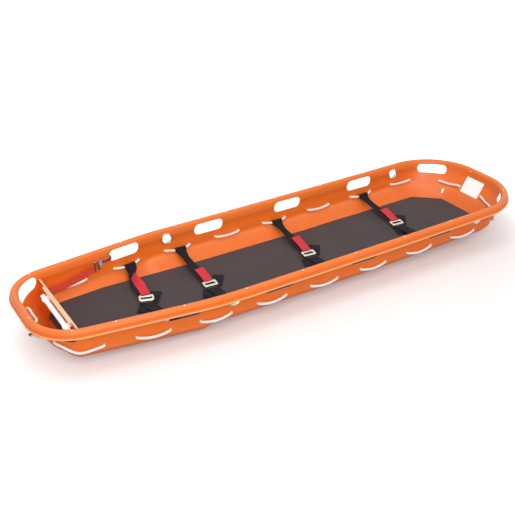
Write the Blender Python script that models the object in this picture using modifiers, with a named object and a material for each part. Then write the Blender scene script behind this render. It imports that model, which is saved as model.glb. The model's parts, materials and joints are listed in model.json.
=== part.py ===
"""Basket stretcher: moulded shell with a rim tube, mat, woven rope, straps and foot board.

Metres, +Z up. +X points to the head end, +Y to the patient's right side.
The origin is the centre of the footprint, on the ground under the runners.
"""
import math

import bmesh
import bpy
from mathutils import Matrix, Vector

# Overall size
LENGTH = 2.17
WIDTH = 0.62
RIM_HEIGHT = 0.179
SHELL_WALL = 0.005
CLEARANCE = 0.0003

# Rolled rim: an upside-down U round the whole edge
RIM_HALF = 0.015
RIM_DROP = 0.0255
RIM_SHOULDER_SHARE = 0.7
RIM_SHOULDER_DROP = 0.0035
RIM_SIDE_DROP = 0.013
FLANGE = 0.004
RIM_TUBE_RADIUS = 0.0072

# Plan of the rim's crown line
CROWN_X = LENGTH / 2 - RIM_HALF - FLANGE
CROWN_Y = WIDTH / 2 - RIM_HALF - FLANGE
FOOT_HALF_WIDTH = 0.2125
FOOT_CORNER_RADIUS = 0.155
TAPER_LENGTH = 0.6235
TAPER_END_X = TAPER_LENGTH - LENGTH / 2
TAPER_RADIUS = 1.4
HEAD_FLAT_HALF = 0.056
HEAD_CORNER_RADIUS = CROWN_Y - HEAD_FLAT_HALF

# Floor, runners and the rise of both ends
FLOOR_Z = 0.013
RUNNER_DEPTH = FLOOR_Z - SHELL_WALL
RUNNER_SHARES = (0.15, 0.19, 0.38, 0.42)
RUNNER_FADE_LENGTH = 0.18
RUNNER_END_INSET = 0.285
RUNNER_FADE_TO = LENGTH / 2 - RUNNER_END_INSET
RUNNER_FADE_FROM = RUNNER_FADE_TO - RUNNER_FADE_LENGTH
FLAT_HALF = 0.24
FLOOR_RISE_FOOT = 0.020
FLOOR_RISE_HEAD = 0.030
FLOOR_RISE_POWER = 1.3
RIM_RISE_FOOT = 0.005
RIM_RISE_HEAD = 0.016
RIM_RISE_FROM = -0.33
RIM_RISE_POWER = 1.5
SPINE_FOOT_INSET = 0.17
SPINE_HEAD_INSET = 0.22

# Wall section: height, then inset from the crown line at torso, leg, foot end and head end
WALL_LEVELS = (
    (0.146, 0.0170, 0.0170, 0.0170, 0.0170),
    (0.139, 0.0155, 0.0155, 0.0180, 0.0180),
    (0.096, 0.0195, 0.0175, 0.0390, 0.0420),
    (0.074, 0.0220, 0.0205, 0.0500, 0.0560),
    (0.0665, 0.0290, 0.0215, 0.0540, 0.0610),
    (0.058, 0.0355, 0.0240, 0.0590, 0.0680),
    (0.046, 0.0500, 0.0320, 0.0670, 0.0790),
    (0.033, 0.0695, 0.0460, 0.0800, 0.0910),
    (0.021, 0.0890, 0.0660, 0.0950, 0.1060),
    (FLOOR_Z, 0.1080, 0.0880, 0.1100, 0.1220),
)
LEDGE_LENGTH = 0.080
LEDGE_PAST_TAPER = 0.0265
LEDGE_TO_X = TAPER_END_X + LEDGE_PAST_TAPER
LEDGE_FROM_X = LEDGE_TO_X - LEDGE_LENGTH
STATION_COUNTS = (2, 7, 4, 3, 8, 9, 2)

# Hand holes and lifting eyelets
HEAD_EYELET_INSET = 0.300
GRID_MIDDLE = 0.005
GRID = (LENGTH / 2 - HEAD_EYELET_INSET - GRID_MIDDLE) / 4
HANDLE_X = tuple(GRID_MIDDLE + GRID * step for step in (-3, -1, 1, 3))
HANDLE_WIDTH = 0.135
HANDLE_HEIGHT = 0.048
HANDLE_CORNER = 0.022
HANDLE_Z = 0.140
HEAD_HANDLE_HEIGHT = 0.043
CORNER_HANDLE_SHIFT = 0.013
EYELET_X = tuple(GRID_MIDDLE + GRID * step for step in (-2, 4))
EYELET_Z = 0.139
EYELET_BORE = 0.0195
EYELET_BARREL = 0.0215
EYELET_FLANGE = 0.0250
EYELET_FLANGE_THICKNESS = 0.0018
EYELET_INNER_INSET = 0.0188
EYELET_OUTER_INSET = 0.0098
EYELET_SIDES = 16
DRAIN_SLOT_WIDTH = 0.010
DRAIN_SLOT_HEIGHT = 0.026
DRAIN_SLOT_CORNER = 0.004
DRAIN_SLOT_Z = 0.052
DRAIN_SLOT_ANGLE = 62.0
HOLE_CUT_DEPTH = 0.030
BORE_CUT_DEPTH = 0.060
SLOT_CUT_DEPTH = 0.075
SIDE_CUT_BEYOND = 0.0135
CORNER_CUT_BEYOND = 0.01175

# Perimeter rope, woven in and out of the wall
ROPE_RADIUS = 0.005
ROPE_Z = 0.088
ROPE_LEG_DROP = 0.008
ROPE_LEG_FROM_INSET = 0.725
ROPE_LEG_TO_INSET = 0.325
ROPE_LEG_FROM_X = ROPE_LEG_FROM_INSET - LENGTH / 2
ROPE_LEG_TO_X = ROPE_LEG_TO_INSET - LENGTH / 2
ROPE_FOOT_LIFT = 0.018
ROPE_PAIRS = 8
ROPE_FIRST_INSET = 0.2185
ROPE_LAST_INSET = 0.310
ROPE_FIRST_X = ROPE_FIRST_INSET - LENGTH / 2
ROPE_PITCH = (LENGTH - ROPE_FIRST_INSET - ROPE_LAST_INSET) / (ROPE_PAIRS - 1)
ROPE_INSIDE_RUN = 0.112
ROPE_HOLE_RADIUS = 0.0092
ROPE_STAND_OFF = 0.0035
ROPE_OUTER_GAP = 0.0014
ROPE_STEP = 0.045
ROPE_CORNER_STEP = 0.013
ROPE_CORNER_TURN = 0.3
ROPE_BEND = 0.0080
ROPE_BEND_TURNS = (0.0, 45.0, 90.0)
ROPE_SAG_INSIDE = 0.005
ROPE_SAG_OUTSIDE = 0.008
ROPE_SLACK = 0.003
HEAD_ROPE_ANGLE = 38.0
HEAD_ROPE_Y = 0.070
FOOT_ROPE_Y = (-0.009, 0.104)
KNOT_ROPE_Y = (0.078, 0.168)
KNOT_RADIUS = 0.011
KNOT_HALF_LENGTH = 0.014
KNOT_MARGIN = 0.0024
TAIL_RADIUS = 0.0042
TAIL_TIP_RADIUS = 0.0052
TAIL_TIP_LENGTH = 0.014
TAIL_ROUTE = (
    (0.0, 0.0, 0.0),
    (0.0, 0.010, 0.0),
    (-0.008, 0.017, 0.003),
    (-0.022, 0.023, 0.008),
    (-0.040, 0.031, 0.008),
)

# Mat
MAT_THICKNESS = 0.019
MAT_GAP = 0.0012
MAT_FOOT_INSET = 0.140
MAT_HEAD_INSET = 0.145
MAT_FOOT_X = MAT_FOOT_INSET - LENGTH / 2
MAT_HEAD_X = LENGTH / 2 - MAT_HEAD_INSET
MAT_CHAMFER_X = 0.100
MAT_FOOT_END_Y = 0.125
MAT_HEAD_END_Y = 0.098
MAT_HALF_WIDTH = 0.214
MAT_HEAD_NARROWING = 0.018
MAT_NARROWING_LENGTH = 0.540
MAT_NARROWS_FROM_X = MAT_HEAD_X - MAT_NARROWING_LENGTH
MAT_CROWN = 0.0012
MAT_EDGE = 0.004
MAT_BULGE = 0.0012
MAT_SIDE_SHARES = (0.0, 0.35, 0.7, 0.92)

# Body straps
STRAP_RUNS = (1, 2, 4, 6)
STRAP_SHIFT = 0.008
STRAP_PULL = 0.0065
STRAP_MARGIN = 0.001
BUCKLE_SHIFTS = (-0.028, -0.003, -0.008, -0.004)
BUCKLE_TURNS = (-19.0, -4.0, -5.0, -5.0)
BUCKLE_Y = (0.026, 0.0, 0.0, 0.010)
STRAP_WIDTH = 0.050
STRAP_THICKNESS = 0.0018
STRAP_LOOP = 0.0069
STRAP_LOOP_FROM = 300
STRAP_LOOP_STEP = 30
STRAP_LEAVE = ((0.0085, 0.0030, 0.048), (0.0125, 0.0080, 0.044))
STRAP_SPAN = (
    (0.08, 0.036),
    (0.17, 0.030),
    (0.30, 0.032),
    (0.50, 0.038),
    (0.72, 0.043),
    (0.90, 0.046),
    (1.00, 0.046),
)
STRAP_SAG = 0.007
BUCKLE_LENGTH = 0.058
BUCKLE_WIDTH = 0.037
BUCKLE_THICKNESS = 0.004
FRAME_CORNER_SHARE = 0.18
SLOT_CORNER_SHARE = 0.35
BUCKLE_SLOT_LENGTH = 0.042
BUCKLE_SLOT_WIDTH = 0.012
BUCKLE_LIFT = 0.016
BUCKLE_TILT = 6.0
TONGUE_LENGTH = 0.044
TONGUE_WIDTH = 0.046
TONGUE_THICKNESS = 0.0025
TONGUE_INSET = 0.002
TONGUE_CORNER = 0.004
TAB_LENGTHS = (0.126, 0.094, 0.114, 0.104)
TAB_TURNS = (1.0, -4.0, -7.0, -10.0)
TAB_WIDTH = 0.036
TAB_SEAT = 0.002
TAB_SHARES = (0.0, 0.12, 0.3, 0.5, 0.7, 0.85, 1.0)
TAB_ARCH = 0.002
FREE_END_LENGTH = 0.085
FREE_END_WIDTH = 0.045
FREE_END_TURN = 55.0
FREE_END_STARTS = ((0.012, -0.026), (0.022, -0.008), (0.024, -0.006), (0.022, -0.006))
FREE_END_ROUTE = ((0.0, 0.001), (0.25, 0.003), (0.5, 0.006), (0.75, 0.005), (1.0, 0.002))

# Foot board with its grip bar and side straps
BOARD_INSET = 0.172
BOARD_FOOT_X = BOARD_INSET - LENGTH / 2
BOARD_LEAN = 14.0
BOARD_THICKNESS = 0.006
BOARD_TOP_Z = 0.162
BOARD_SIDE_GAP = 0.005
BOARD_SIDE_SHARES = (0.0, 0.12, 0.3, 0.6, 0.93, 1.0)
BOARD_TOP_CORNER = 0.008
BOARD_LIP_HALF = 0.140
BOARD_LIP_THICKNESS = 0.006
BOARD_LIP_HEIGHT = 0.012
BOARD_LIP_CORNER = 0.004
BAR_HALF = 0.130
BAR_HEIGHT = 0.017
BAR_THICKNESS = 0.018
BAR_CORNER = 0.006
BAR_STAND_OFF = 0.010
BAR_FOOT_HALF = 0.010
BAR_BELOW_TOP = 0.030
BOLT_RADIUS = 0.006
BOLT_SHANK = 0.003
BOLT_HEIGHT = 0.003
BOLT_Y = 0.105
BOLT_END = 0.001
FOOT_STRAP_WIDTH = 0.034
FOOT_STRAP_THICKNESS = 0.0018
FOOT_STRAP_Y = 0.178
FOOT_STRAP_SHARE = 0.50
FOOT_STRAP_SAG = 0.006
FOOT_STRAP_ROUTE = ((0.0, 0.0), (0.2, 0.5), (0.4, 0.9), (0.6, 1.0), (0.8, 1.0), (1.0, 1.0))
ADJUSTER_REACH = 0.0575
ADJUSTER_X = HANDLE_X[0] - HANDLE_WIDTH / 2 - ADJUSTER_REACH
ADJUSTER_Z = 0.127
ADJUSTER_WALL_GAP = 0.011
ADJUSTER_LENGTH = 0.024
ADJUSTER_HEIGHT = 0.044
ADJUSTER_THICKNESS = 0.003
ADJUSTER_SLOT = (0.036, 0.008)
HOOK_Z = 0.136
HOOK_HEIGHT = 0.015
HOOK_THICKNESS = 0.002
HOOK_REACH = 0.013
STRAP_END_WIDTH = 0.026

# Label plate
LABEL_WIDTH = 0.106
LABEL_TOP_Z = 0.140
LABEL_BOTTOM_Z = 0.072
LABEL_THICKNESS = 0.0012
LABEL_CORNER = 0.004

MERGE = 0.00005
UP = Vector((0.0, 0.0, 1.0))

ORANGE = (0.80, 0.16, 0.03)
DARK_GREY = (0.055, 0.052, 0.053)
BLACK = (0.012, 0.012, 0.015)
RED = (0.70, 0.03, 0.05)
WHITE = (0.80, 0.79, 0.76)
STEEL = (0.62, 0.60, 0.52)



def clear_scene():
    """Remove what the new file holds."""
    for old in list(bpy.data.objects):
        bpy.data.objects.remove(old, do_unlink=True)


def new_collection(name):
    """Make a collection under the scene."""
    group = bpy.data.collections.new(name)
    bpy.context.scene.collection.children.link(group)
    return group


def make_material(name, colour, roughness, metallic=0.0):
    """Principled material with one colour."""
    material = bpy.data.materials.new(name)
    material.use_nodes = True
    shader = material.node_tree.nodes["Principled BSDF"]
    shader.inputs["Base Color"].default_value = (*colour, 1.0)
    shader.inputs["Roughness"].default_value = roughness
    shader.inputs["Metallic"].default_value = metallic
    material.diffuse_color = (*colour, 1.0)
    return material


def smooth_step(value):
    """Ease from 0 to 1."""
    value = min(max(value, 0.0), 1.0)
    return value * value * (3.0 - 2.0 * value)


def plan_pieces():
    """Half of the crown line for y >= 0, from the foot centre to the head centre."""
    corners = (
        (Vector((-CROWN_X, 0.0)), 0.0),
        (Vector((-CROWN_X, FOOT_HALF_WIDTH)), FOOT_CORNER_RADIUS),
        (Vector((TAPER_END_X, CROWN_Y)), TAPER_RADIUS),
        (Vector((CROWN_X, CROWN_Y)), HEAD_CORNER_RADIUS),
        (Vector((CROWN_X, 0.0)), 0.0),
    )
    pieces = []
    start = corners[0][0]
    for here, (corner, radius) in enumerate(corners[1:], 1):
        ahead = (corner - corners[here - 1][0]).normalized()
        if radius == 0.0:
            pieces.append(("line", start, ahead, (corner - start).length))
            break
        beyond = (corners[here + 1][0] - corner).normalized()
        turn = math.acos(max(-1.0, min(1.0, ahead.dot(beyond))))
        tangent = radius * math.tan(turn / 2)
        touch = corner - ahead * tangent
        pieces.append(("line", start, ahead, (touch - start).length))
        centre = touch + Vector((ahead.y, -ahead.x)) * radius
        heading = math.atan2(ahead.y, ahead.x)
        pieces.append(("arc", centre, (radius, heading), radius * turn))
        start = corner + beyond * tangent
    return pieces


PLAN = plan_pieces()
HALF_LENGTH = sum(piece[3] for piece in PLAN)


def plan_point(distance):
    """Point and outward normal on the crown line, this far from the foot centre."""
    distance = min(max(distance, 0.0), HALF_LENGTH)
    for kind, anchor, data, length in PLAN:
        if distance <= length + 1e-9:
            break
        distance -= length
    if kind == "line":
        return anchor + data * distance, Vector((-data.y, data.x))
    radius, heading = data
    now = heading - distance / radius
    normal = Vector((-math.sin(now), math.cos(now)))
    return anchor + normal * radius, normal


def station_distances():
    """Distances of the shell's sections along the half plan."""
    values = [0.0]
    total = 0.0
    for (kind, anchor, data, length), count in zip(PLAN, STATION_COUNTS):
        values += [total + length * step / count for step in range(1, count + 1)]
        total += length
    return values


STATIONS = station_distances()


def distance_at_x(x):
    """Distance along the half plan where the crown line passes x."""
    low = 0.0
    high = HALF_LENGTH
    for _ in range(48):
        middle = (low + high) / 2
        if plan_point(middle)[0].x < x:
            low = middle
        else:
            high = middle
    return (low + high) / 2


def distance_at_y(y, head):
    """Distance along the half plan where an end of the crown line passes y."""
    low, high = (HALF_LENGTH / 2, HALF_LENGTH) if head else (0.0, HALF_LENGTH / 2)
    for _ in range(48):
        middle = (low + high) / 2
        if (plan_point(middle)[0].y > y) == head:
            low = middle
        else:
            high = middle
    return (low + high) / 2


def floor_rise(x):
    """Rise of the floor towards both ends."""
    reach = max(abs(x) - FLAT_HALF, 0.0) / (LENGTH / 2 - FLAT_HALF)
    rise = FLOOR_RISE_HEAD if x > 0 else FLOOR_RISE_FOOT
    return rise * reach ** FLOOR_RISE_POWER


def rim_rise(x):
    """Rise of the rim towards both ends."""
    if x < RIM_RISE_FROM:
        share = (RIM_RISE_FROM - x) / (LENGTH / 2 + RIM_RISE_FROM)
        return RIM_RISE_FOOT * share ** 2
    share = (x - RIM_RISE_FROM) / (LENGTH / 2 - RIM_RISE_FROM)
    return RIM_RISE_HEAD * share ** RIM_RISE_POWER


def risen(x, height):
    """World height of a section height at x."""
    share = (height - FLOOR_Z) / (RIM_HEIGHT - FLOOR_Z)
    share = min(max(share, 0.0), 1.0)
    return height + floor_rise(x) * (1.0 - share) + rim_rise(x) * share


def zone_weights(point, normal):
    """Shares of the torso, leg, foot end and head end sections at a plan point."""
    foot = smooth_step((-normal.x - 0.2) / 0.65)
    head = smooth_step((normal.x - 0.03) / 0.72)
    ledge = smooth_step((point.x - LEDGE_FROM_X) / (LEDGE_TO_X - LEDGE_FROM_X))
    sides = 1.0 - foot - head
    return (sides * ledge, sides * (1.0 - ledge), foot, head)


def section(distance):
    """Inset and section height of each level, from the flange down to the floor's edge."""
    point, normal = plan_point(distance)
    weights = zone_weights(point, normal)
    rim = (
        (-RIM_HALF - FLANGE, RIM_DROP),
        (-RIM_HALF, RIM_DROP),
        (-RIM_HALF, RIM_SIDE_DROP),
        (-RIM_SHOULDER_SHARE * RIM_HALF, RIM_SHOULDER_DROP),
        (0.0, 0.0),
        (RIM_SHOULDER_SHARE * RIM_HALF, RIM_SHOULDER_DROP),
        (RIM_HALF, RIM_SIDE_DROP),
    )
    levels = [(inset, RIM_HEIGHT - drop) for inset, drop in rim]
    for height, *insets in WALL_LEVELS:
        inset = sum(weight * value for weight, value in zip(weights, insets))
        levels.append((inset, height))
    return levels


def section_point(distance, inset, height):
    """World point of one section level."""
    point, normal = plan_point(distance)
    flat = point - normal * inset
    return Vector((flat.x, flat.y, risen(flat.x, height)))


def level_at_height(distance, height):
    """Inset of the wall at a section height, and its slope from upright in radians."""
    levels = section(distance)[6:]
    for (upper_inset, upper), (lower_inset, lower) in zip(levels, levels[1:]):
        if height >= lower:
            break
    share = (upper - height) / (upper - lower)
    inset = upper_inset + (lower_inset - upper_inset) * share
    return inset, math.atan2(lower_inset - upper_inset, upper - lower)


def station_span(distance):
    """Stations on both sides of a distance, and the share between them."""
    for low, high in zip(STATIONS, STATIONS[1:]):
        if distance <= high + 1e-9:
            return low, high, (distance - low) / (high - low)
    return STATIONS[-2], STATIONS[-1], 1.0


def half_plan(around):
    """Half-plan distance and side of a place this far round the whole rim.

    The way round starts at the foot centre, runs along -Y to the head and back along +Y.
    """
    around %= 2 * HALF_LENGTH
    if around <= HALF_LENGTH:
        return around, -1.0
    return 2 * HALF_LENGTH - around, 1.0


def wall_at(around, height):
    """Inner wall point and its inward normal, this far round the whole rim."""
    distance, side = half_plan(around)
    low, high, share = station_span(distance)
    ends = []
    slopes = []
    for station in (low, high):
        inset, slope = level_at_height(station, height)
        ends.append(section_point(station, inset, height))
        slopes.append(slope)
    point = ends[0].lerp(ends[1], share)
    slope = slopes[0] + (slopes[1] - slopes[0]) * share
    along = (ends[1] - ends[0]).normalized()
    flat = Vector((along.y, -along.x, 0.0)).normalized()
    inward = flat * math.cos(slope) + UP * math.sin(slope)
    return Vector((point.x, side * point.y, point.z)), Vector((inward.x, side * inward.y, inward.z))


def around_at(distance, side):
    """Way round the rim of a half-plan distance on one side."""
    return distance if side < 0 else 2 * HALF_LENGTH - distance


def facing(point, outward):
    """Matrix at a point with +Z along outward and +Y as near up as it can be."""
    across = UP.cross(outward).normalized()
    above = outward.cross(across)
    turn = Matrix((across, above, outward)).transposed().to_4x4()
    return Matrix.Translation(point) @ turn


def add_object(name, mesh_data, collection, material=None):
    """Put a finished bmesh into a named object."""
    mesh = bpy.data.meshes.new(name)
    mesh_data.to_mesh(mesh)
    mesh_data.free()
    made = bpy.data.objects.new(name, mesh)
    collection.objects.link(made)
    if material:
        mesh.materials.append(material)
    return made


def keep_origin(made, matrix):
    """Give an object whose mesh is in world space this origin, with the mesh left where it is."""
    made.data.transform(matrix.inverted())
    made.matrix_world = matrix


def set_smooth(made, angle=35.0):
    """Smooth shading with sharp edges kept."""
    made.data.shade_smooth()
    made.data.set_sharp_from_angle(angle=math.radians(angle))


def block(size, radius, segments, axis=2):
    """A box centred on zero with the edges along one axis rounded."""
    shape = bmesh.new()
    bmesh.ops.create_cube(shape, size=1.0)
    bmesh.ops.scale(shape, vec=size, verts=shape.verts)
    if radius > 0:
        edges = [edge for edge in shape.edges
                 if abs((edge.verts[0].co - edge.verts[1].co)[axis]) > 0.5 * size[axis]]
        bmesh.ops.bevel(shape, geom=edges, offset=radius, segments=segments,
                        affect="EDGES", profile=0.5)
    return shape


def add_cutter(name, shape, matrix, collection):
    """Put a cutting shape into the cutters' collection."""
    bmesh.ops.transform(shape, matrix=matrix, verts=shape.verts)
    made = add_object(name, shape, collection)
    made.hide_render = True
    made.display_type = "WIRE"
    return made


def add_boolean(made, operation, other=None, group=None):
    """Exact Boolean with one object or with a collection."""
    modifier = made.modifiers.new(operation.title(), "BOOLEAN")
    modifier.operation = operation
    modifier.solver = "EXACT"
    if group:
        modifier.operand_type = "COLLECTION"
        modifier.collection = group
    else:
        modifier.object = other


def add_solidify(made, thickness, offset):
    """Even wall on an open surface."""
    modifier = made.modifiers.new("Wall", "SOLIDIFY")
    modifier.thickness = thickness
    modifier.offset = offset
    modifier.use_even_offset = True
    modifier.use_quality_normals = True


def shell_surface():
    """Half of the shell's inner face: sections from the flange down, then floor and runners."""
    shape = bmesh.new()
    rings = []
    for distance in STATIONS:
        point, normal = plan_point(distance)
        levels = section(distance)
        ring = [section_point(distance, inset, height) for inset, height in levels]
        edge = ring[-1]
        spine_x = min(max(point.x, SPINE_FOOT_INSET - CROWN_X), CROWN_X - SPINE_HEAD_INSET)
        fade = (abs(point.x) - RUNNER_FADE_FROM) / (RUNNER_FADE_TO - RUNNER_FADE_FROM)
        depth = RUNNER_DEPTH * (1.0 - smooth_step(fade))
        for share, drop in zip((*RUNNER_SHARES, 1.0), (0.0, depth, depth, 0.0, 0.0)):
            x = edge.x + (spine_x - edge.x) * share
            y = edge.y * (1.0 - share)
            ring.append(Vector((x, y, risen(x, FLOOR_Z) - drop)))
        rings.append([shape.verts.new(corner) for corner in ring])
    for ring, following in zip(rings, rings[1:]):
        for level in range(len(ring) - 1):
            shape.faces.new((ring[level], ring[level + 1], following[level + 1], following[level]))
    bmesh.ops.remove_doubles(shape, verts=shape.verts, dist=MERGE)
    return shape


def rope_holes():
    """Ways round the rim of the rope's holes, in order from the knot."""
    near = [distance_at_y(KNOT_ROPE_Y[1], False)]
    side = []
    for pair in range(ROPE_PAIRS):
        x = ROPE_FIRST_X + ROPE_PITCH * pair
        side += [distance_at_x(x), distance_at_x(x + ROPE_INSIDE_RUN)]
    arc_centre_y = CROWN_Y - HEAD_CORNER_RADIUS
    head_y = arc_centre_y + HEAD_CORNER_RADIUS * math.sin(math.radians(HEAD_ROPE_ANGLE))
    side += [distance_at_y(head_y, True), distance_at_y(HEAD_ROPE_Y, True)]
    near += side
    far = [2 * HALF_LENGTH - distance for distance in reversed(side)]
    far.append(2 * HALF_LENGTH - distance_at_y(FOOT_ROPE_Y[1], False))
    far.append(2 * HALF_LENGTH - FOOT_ROPE_Y[0])
    far.append(2 * HALF_LENGTH + distance_at_y(KNOT_ROPE_Y[0], False))
    return near + far


ROPE_HOLES = rope_holes()
KNOT_AT = distance_at_y(sum(KNOT_ROPE_Y) / 2, False)
ROPE_INSIDE = ROPE_STAND_OFF + ROPE_RADIUS
ROPE_OUTSIDE = -SHELL_WALL - ROPE_OUTER_GAP - ROPE_RADIUS


def plan_normal(around):
    """Level outward direction of the crown line, this far round the whole rim."""
    distance, side = half_plan(around)
    normal = plan_point(distance)[1]
    return Vector((normal.x, side * normal.y))


def rope_level(around):
    """Section height of the rope's holes: lower along the legs, higher at the foot end."""
    point, normal = plan_point(half_plan(around)[0])
    foot = zone_weights(point, normal)[2]
    legs = smooth_step((ROPE_LEG_FROM_X - point.x) / (ROPE_LEG_FROM_X - ROPE_LEG_TO_X))
    return ROPE_Z - ROPE_LEG_DROP * legs * (1.0 - foot) + ROPE_FOOT_LIFT * foot


def rope_point(around, offset, drop=0.0):
    """Point this far inward from the inner wall face, this far below the rope's holes."""
    point, inward = wall_at(around, rope_level(around) - drop)
    return point + inward * offset


def around_per_metre(around):
    """Way round the rim per metre along the rope's inside runs."""
    reach = 0.002
    gap = rope_point(around + reach, ROPE_INSIDE) - rope_point(around - reach, ROPE_INSIDE)
    return 2 * reach / gap.length


def strap_x(run):
    """Place along the basket where a strap holds an inside run of the rope."""
    return ROPE_FIRST_X + ROPE_PITCH * run + ROPE_INSIDE_RUN / 2 + STRAP_SHIFT


STRAP_PLACES = [around_at(distance_at_x(strap_x(run)), side)
                for run in STRAP_RUNS for side in (-1, 1)]


def run_stops(start, run, inside, turns):
    """Share, drop and slack of each point between two holes.

    A strap pulls its run down and keeps it straight. The other runs sag.
    """
    if inside:
        for place in STRAP_PLACES:
            share = (place - start) / run
            if 0.0 < share < 1.0:
                reach = (STRAP_WIDTH / 2 + STRAP_MARGIN) / run
                return [(share - reach, STRAP_PULL, 0.0), (share, STRAP_PULL, 0.0),
                        (share + reach, STRAP_PULL, 0.0)]
    steps = max(3, round(run / (ROPE_CORNER_STEP if turns else ROPE_STEP)))
    stops = []
    for step in range(1, steps):
        swing = math.sin(math.pi * step / steps)
        if inside:
            stops.append((step / steps, ROPE_SAG_INSIDE * swing, 0.0))
        else:
            stops.append((step / steps, ROPE_SAG_OUTSIDE * swing, ROPE_SLACK * swing))
    return stops


def rope_route():
    """Points of the rope: quarter turns at each hole, with the runs between them."""
    middle = -SHELL_WALL / 2
    knot_end = (KNOT_HALF_LENGTH + KNOT_MARGIN) * around_per_metre(KNOT_AT)
    points = [rope_point(KNOT_AT + knot_end, ROPE_INSIDE)]
    inside = True
    for number, hole in enumerate(ROPE_HOLES):
        before = ROPE_INSIDE if inside else ROPE_OUTSIDE
        after = ROPE_OUTSIDE if inside else ROPE_INSIDE
        bend = ROPE_BEND * around_per_metre(hole)
        for degrees in ROPE_BEND_TURNS:
            turn = math.radians(degrees)
            shift = bend * (math.sin(turn) - 1.0)
            offset = middle + (before - middle) * math.cos(turn)
            points.append(rope_point(hole + shift, offset))
        for degrees in ROPE_BEND_TURNS[1:]:
            turn = math.radians(degrees)
            shift = bend * (1.0 - math.cos(turn))
            offset = middle + (after - middle) * math.sin(turn)
            points.append(rope_point(hole + shift, offset))
        inside = not inside
        if number + 1 == len(ROPE_HOLES):
            break
        following = ROPE_HOLES[number + 1]
        run = following - hole - bend - ROPE_BEND * around_per_metre(following)
        turns = plan_normal(hole).angle(plan_normal(following)) > ROPE_CORNER_TURN
        for share, drop, slack in run_stops(hole + bend, run, inside, turns):
            points.append(rope_point(hole + bend + run * share, after - slack, drop))
    points.append(rope_point(KNOT_AT - knot_end, ROPE_INSIDE))
    return points


def tube(name, points, radius, resolution, cyclic, collection, material):
    """Round bar along points."""
    curve = bpy.data.curves.new(name, "CURVE")
    curve.dimensions = "3D"
    spline = curve.splines.new("POLY")
    spline.points.add(len(points) - 1)
    for target, point in zip(spline.points, points):
        target.co = (*point, 1.0)
    spline.use_cyclic_u = cyclic
    curve.bevel_depth = radius
    curve.bevel_resolution = resolution
    curve.use_fill_caps = not cyclic
    curve.materials.append(material)
    made = bpy.data.objects.new(name, curve)
    collection.objects.link(made)
    return made


def flat_frame(around, height):
    """Wall point and its level outward direction."""
    point, inward = wall_at(around, height)
    outward = Vector((-inward.x, -inward.y, 0.0)).normalized()
    return point, outward


def cut_wall_slot(name, around, size, beyond, group):
    """Rounded hand hole through the wall, ending this far outside the inner face."""
    point, outward = flat_frame(around, HANDLE_Z)
    width, tall = size
    shape = block((width, tall, SLOT_CUT_DEPTH), HANDLE_CORNER * tall / HANDLE_HEIGHT, 4)
    place = facing(point - outward * (SLOT_CUT_DEPTH / 2 - beyond), outward)
    add_cutter(name, shape, place, group)


def round_cut(name, radius, sides, depth, place, group):
    """Round hole."""
    shape = bmesh.new()
    bmesh.ops.create_cone(shape, cap_ends=True, segments=sides, depth=depth,
                          radius1=radius, radius2=radius)
    return add_cutter(name, shape, place, group)


def shell_cutters(group):
    """Hand holes, eyelet bores, drain slots and rope holes."""
    foot_corner = PLAN[0][3] + PLAN[1][3] / 2 + CORNER_HANDLE_SHIFT
    head_start = sum(piece[3] for piece in PLAN[:5])
    head_corner = head_start + PLAN[5][3] / 2 - CORNER_HANDLE_SHIFT
    drain = head_start + HEAD_CORNER_RADIUS * math.radians(DRAIN_SLOT_ANGLE)
    for side in (-1, 1):
        for number, x in enumerate(HANDLE_X):
            around = around_at(distance_at_x(x), side)
            cut_wall_slot(f"side_handle_cut_{number}_{side}", around,
                          (HANDLE_WIDTH, HANDLE_HEIGHT), SIDE_CUT_BEYOND, group)
        cut_wall_slot(f"foot_handle_cut_{side}", around_at(foot_corner, side),
                      (HANDLE_WIDTH, HANDLE_HEIGHT), CORNER_CUT_BEYOND, group)
        cut_wall_slot(f"head_handle_cut_{side}", around_at(head_corner, side),
                      (HANDLE_WIDTH, HEAD_HANDLE_HEIGHT), CORNER_CUT_BEYOND, group)
        for number, x in enumerate(EYELET_X):
            point, outward = flat_frame(around_at(distance_at_x(x), side), EYELET_Z)
            place = facing(point - outward * (BORE_CUT_DEPTH / 2 - SIDE_CUT_BEYOND), outward)
            round_cut(f"eyelet_cut_{number}_{side}", EYELET_BARREL + 3 * CLEARANCE, EYELET_SIDES,
                      BORE_CUT_DEPTH, place, group)
        point, inward = wall_at(around_at(drain, side), DRAIN_SLOT_Z)
        shape = block((DRAIN_SLOT_WIDTH, DRAIN_SLOT_HEIGHT, HOLE_CUT_DEPTH), DRAIN_SLOT_CORNER, 2)
        add_cutter(f"drain_slot_cut_{side}", shape, facing(point, -inward), group)
    for number, around in enumerate((*ROPE_HOLES, KNOT_AT)):
        point, inward = wall_at(around, rope_level(around))
        round_cut(f"rope_cut_{number}", ROPE_HOLE_RADIUS, 8, HOLE_CUT_DEPTH,
                  facing(point, -inward), group)


def make_shell(parts, cutters, material):
    """One-piece shell: half surface, mirrored, given its wall and then cut."""
    shape = shell_surface()
    shell = add_object("shell", shape, parts, material)
    mirror = shell.modifiers.new("Mirror", "MIRROR")
    mirror.use_axis = (False, True, False)
    mirror.use_clip = True
    mirror.merge_threshold = MERGE
    add_solidify(shell, SHELL_WALL, -1.0)
    shell_cutters(cutters)
    add_boolean(shell, "DIFFERENCE", group=cutters)
    set_smooth(shell)
    return shell


def make_rim_tube(parts, material):
    """Stiffening tube under the crown, all the way round."""
    drop = SHELL_WALL + 2 * CLEARANCE + RIM_TUBE_RADIUS
    points = [section_point(distance, 0.0, RIM_HEIGHT) - UP * drop for distance in STATIONS]
    others = [Vector((p.x, -p.y, p.z)) for p in reversed(points[1:-1])]
    return tube("rim_tube", points + others, RIM_TUBE_RADIUS, 1, True, parts, material)


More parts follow.
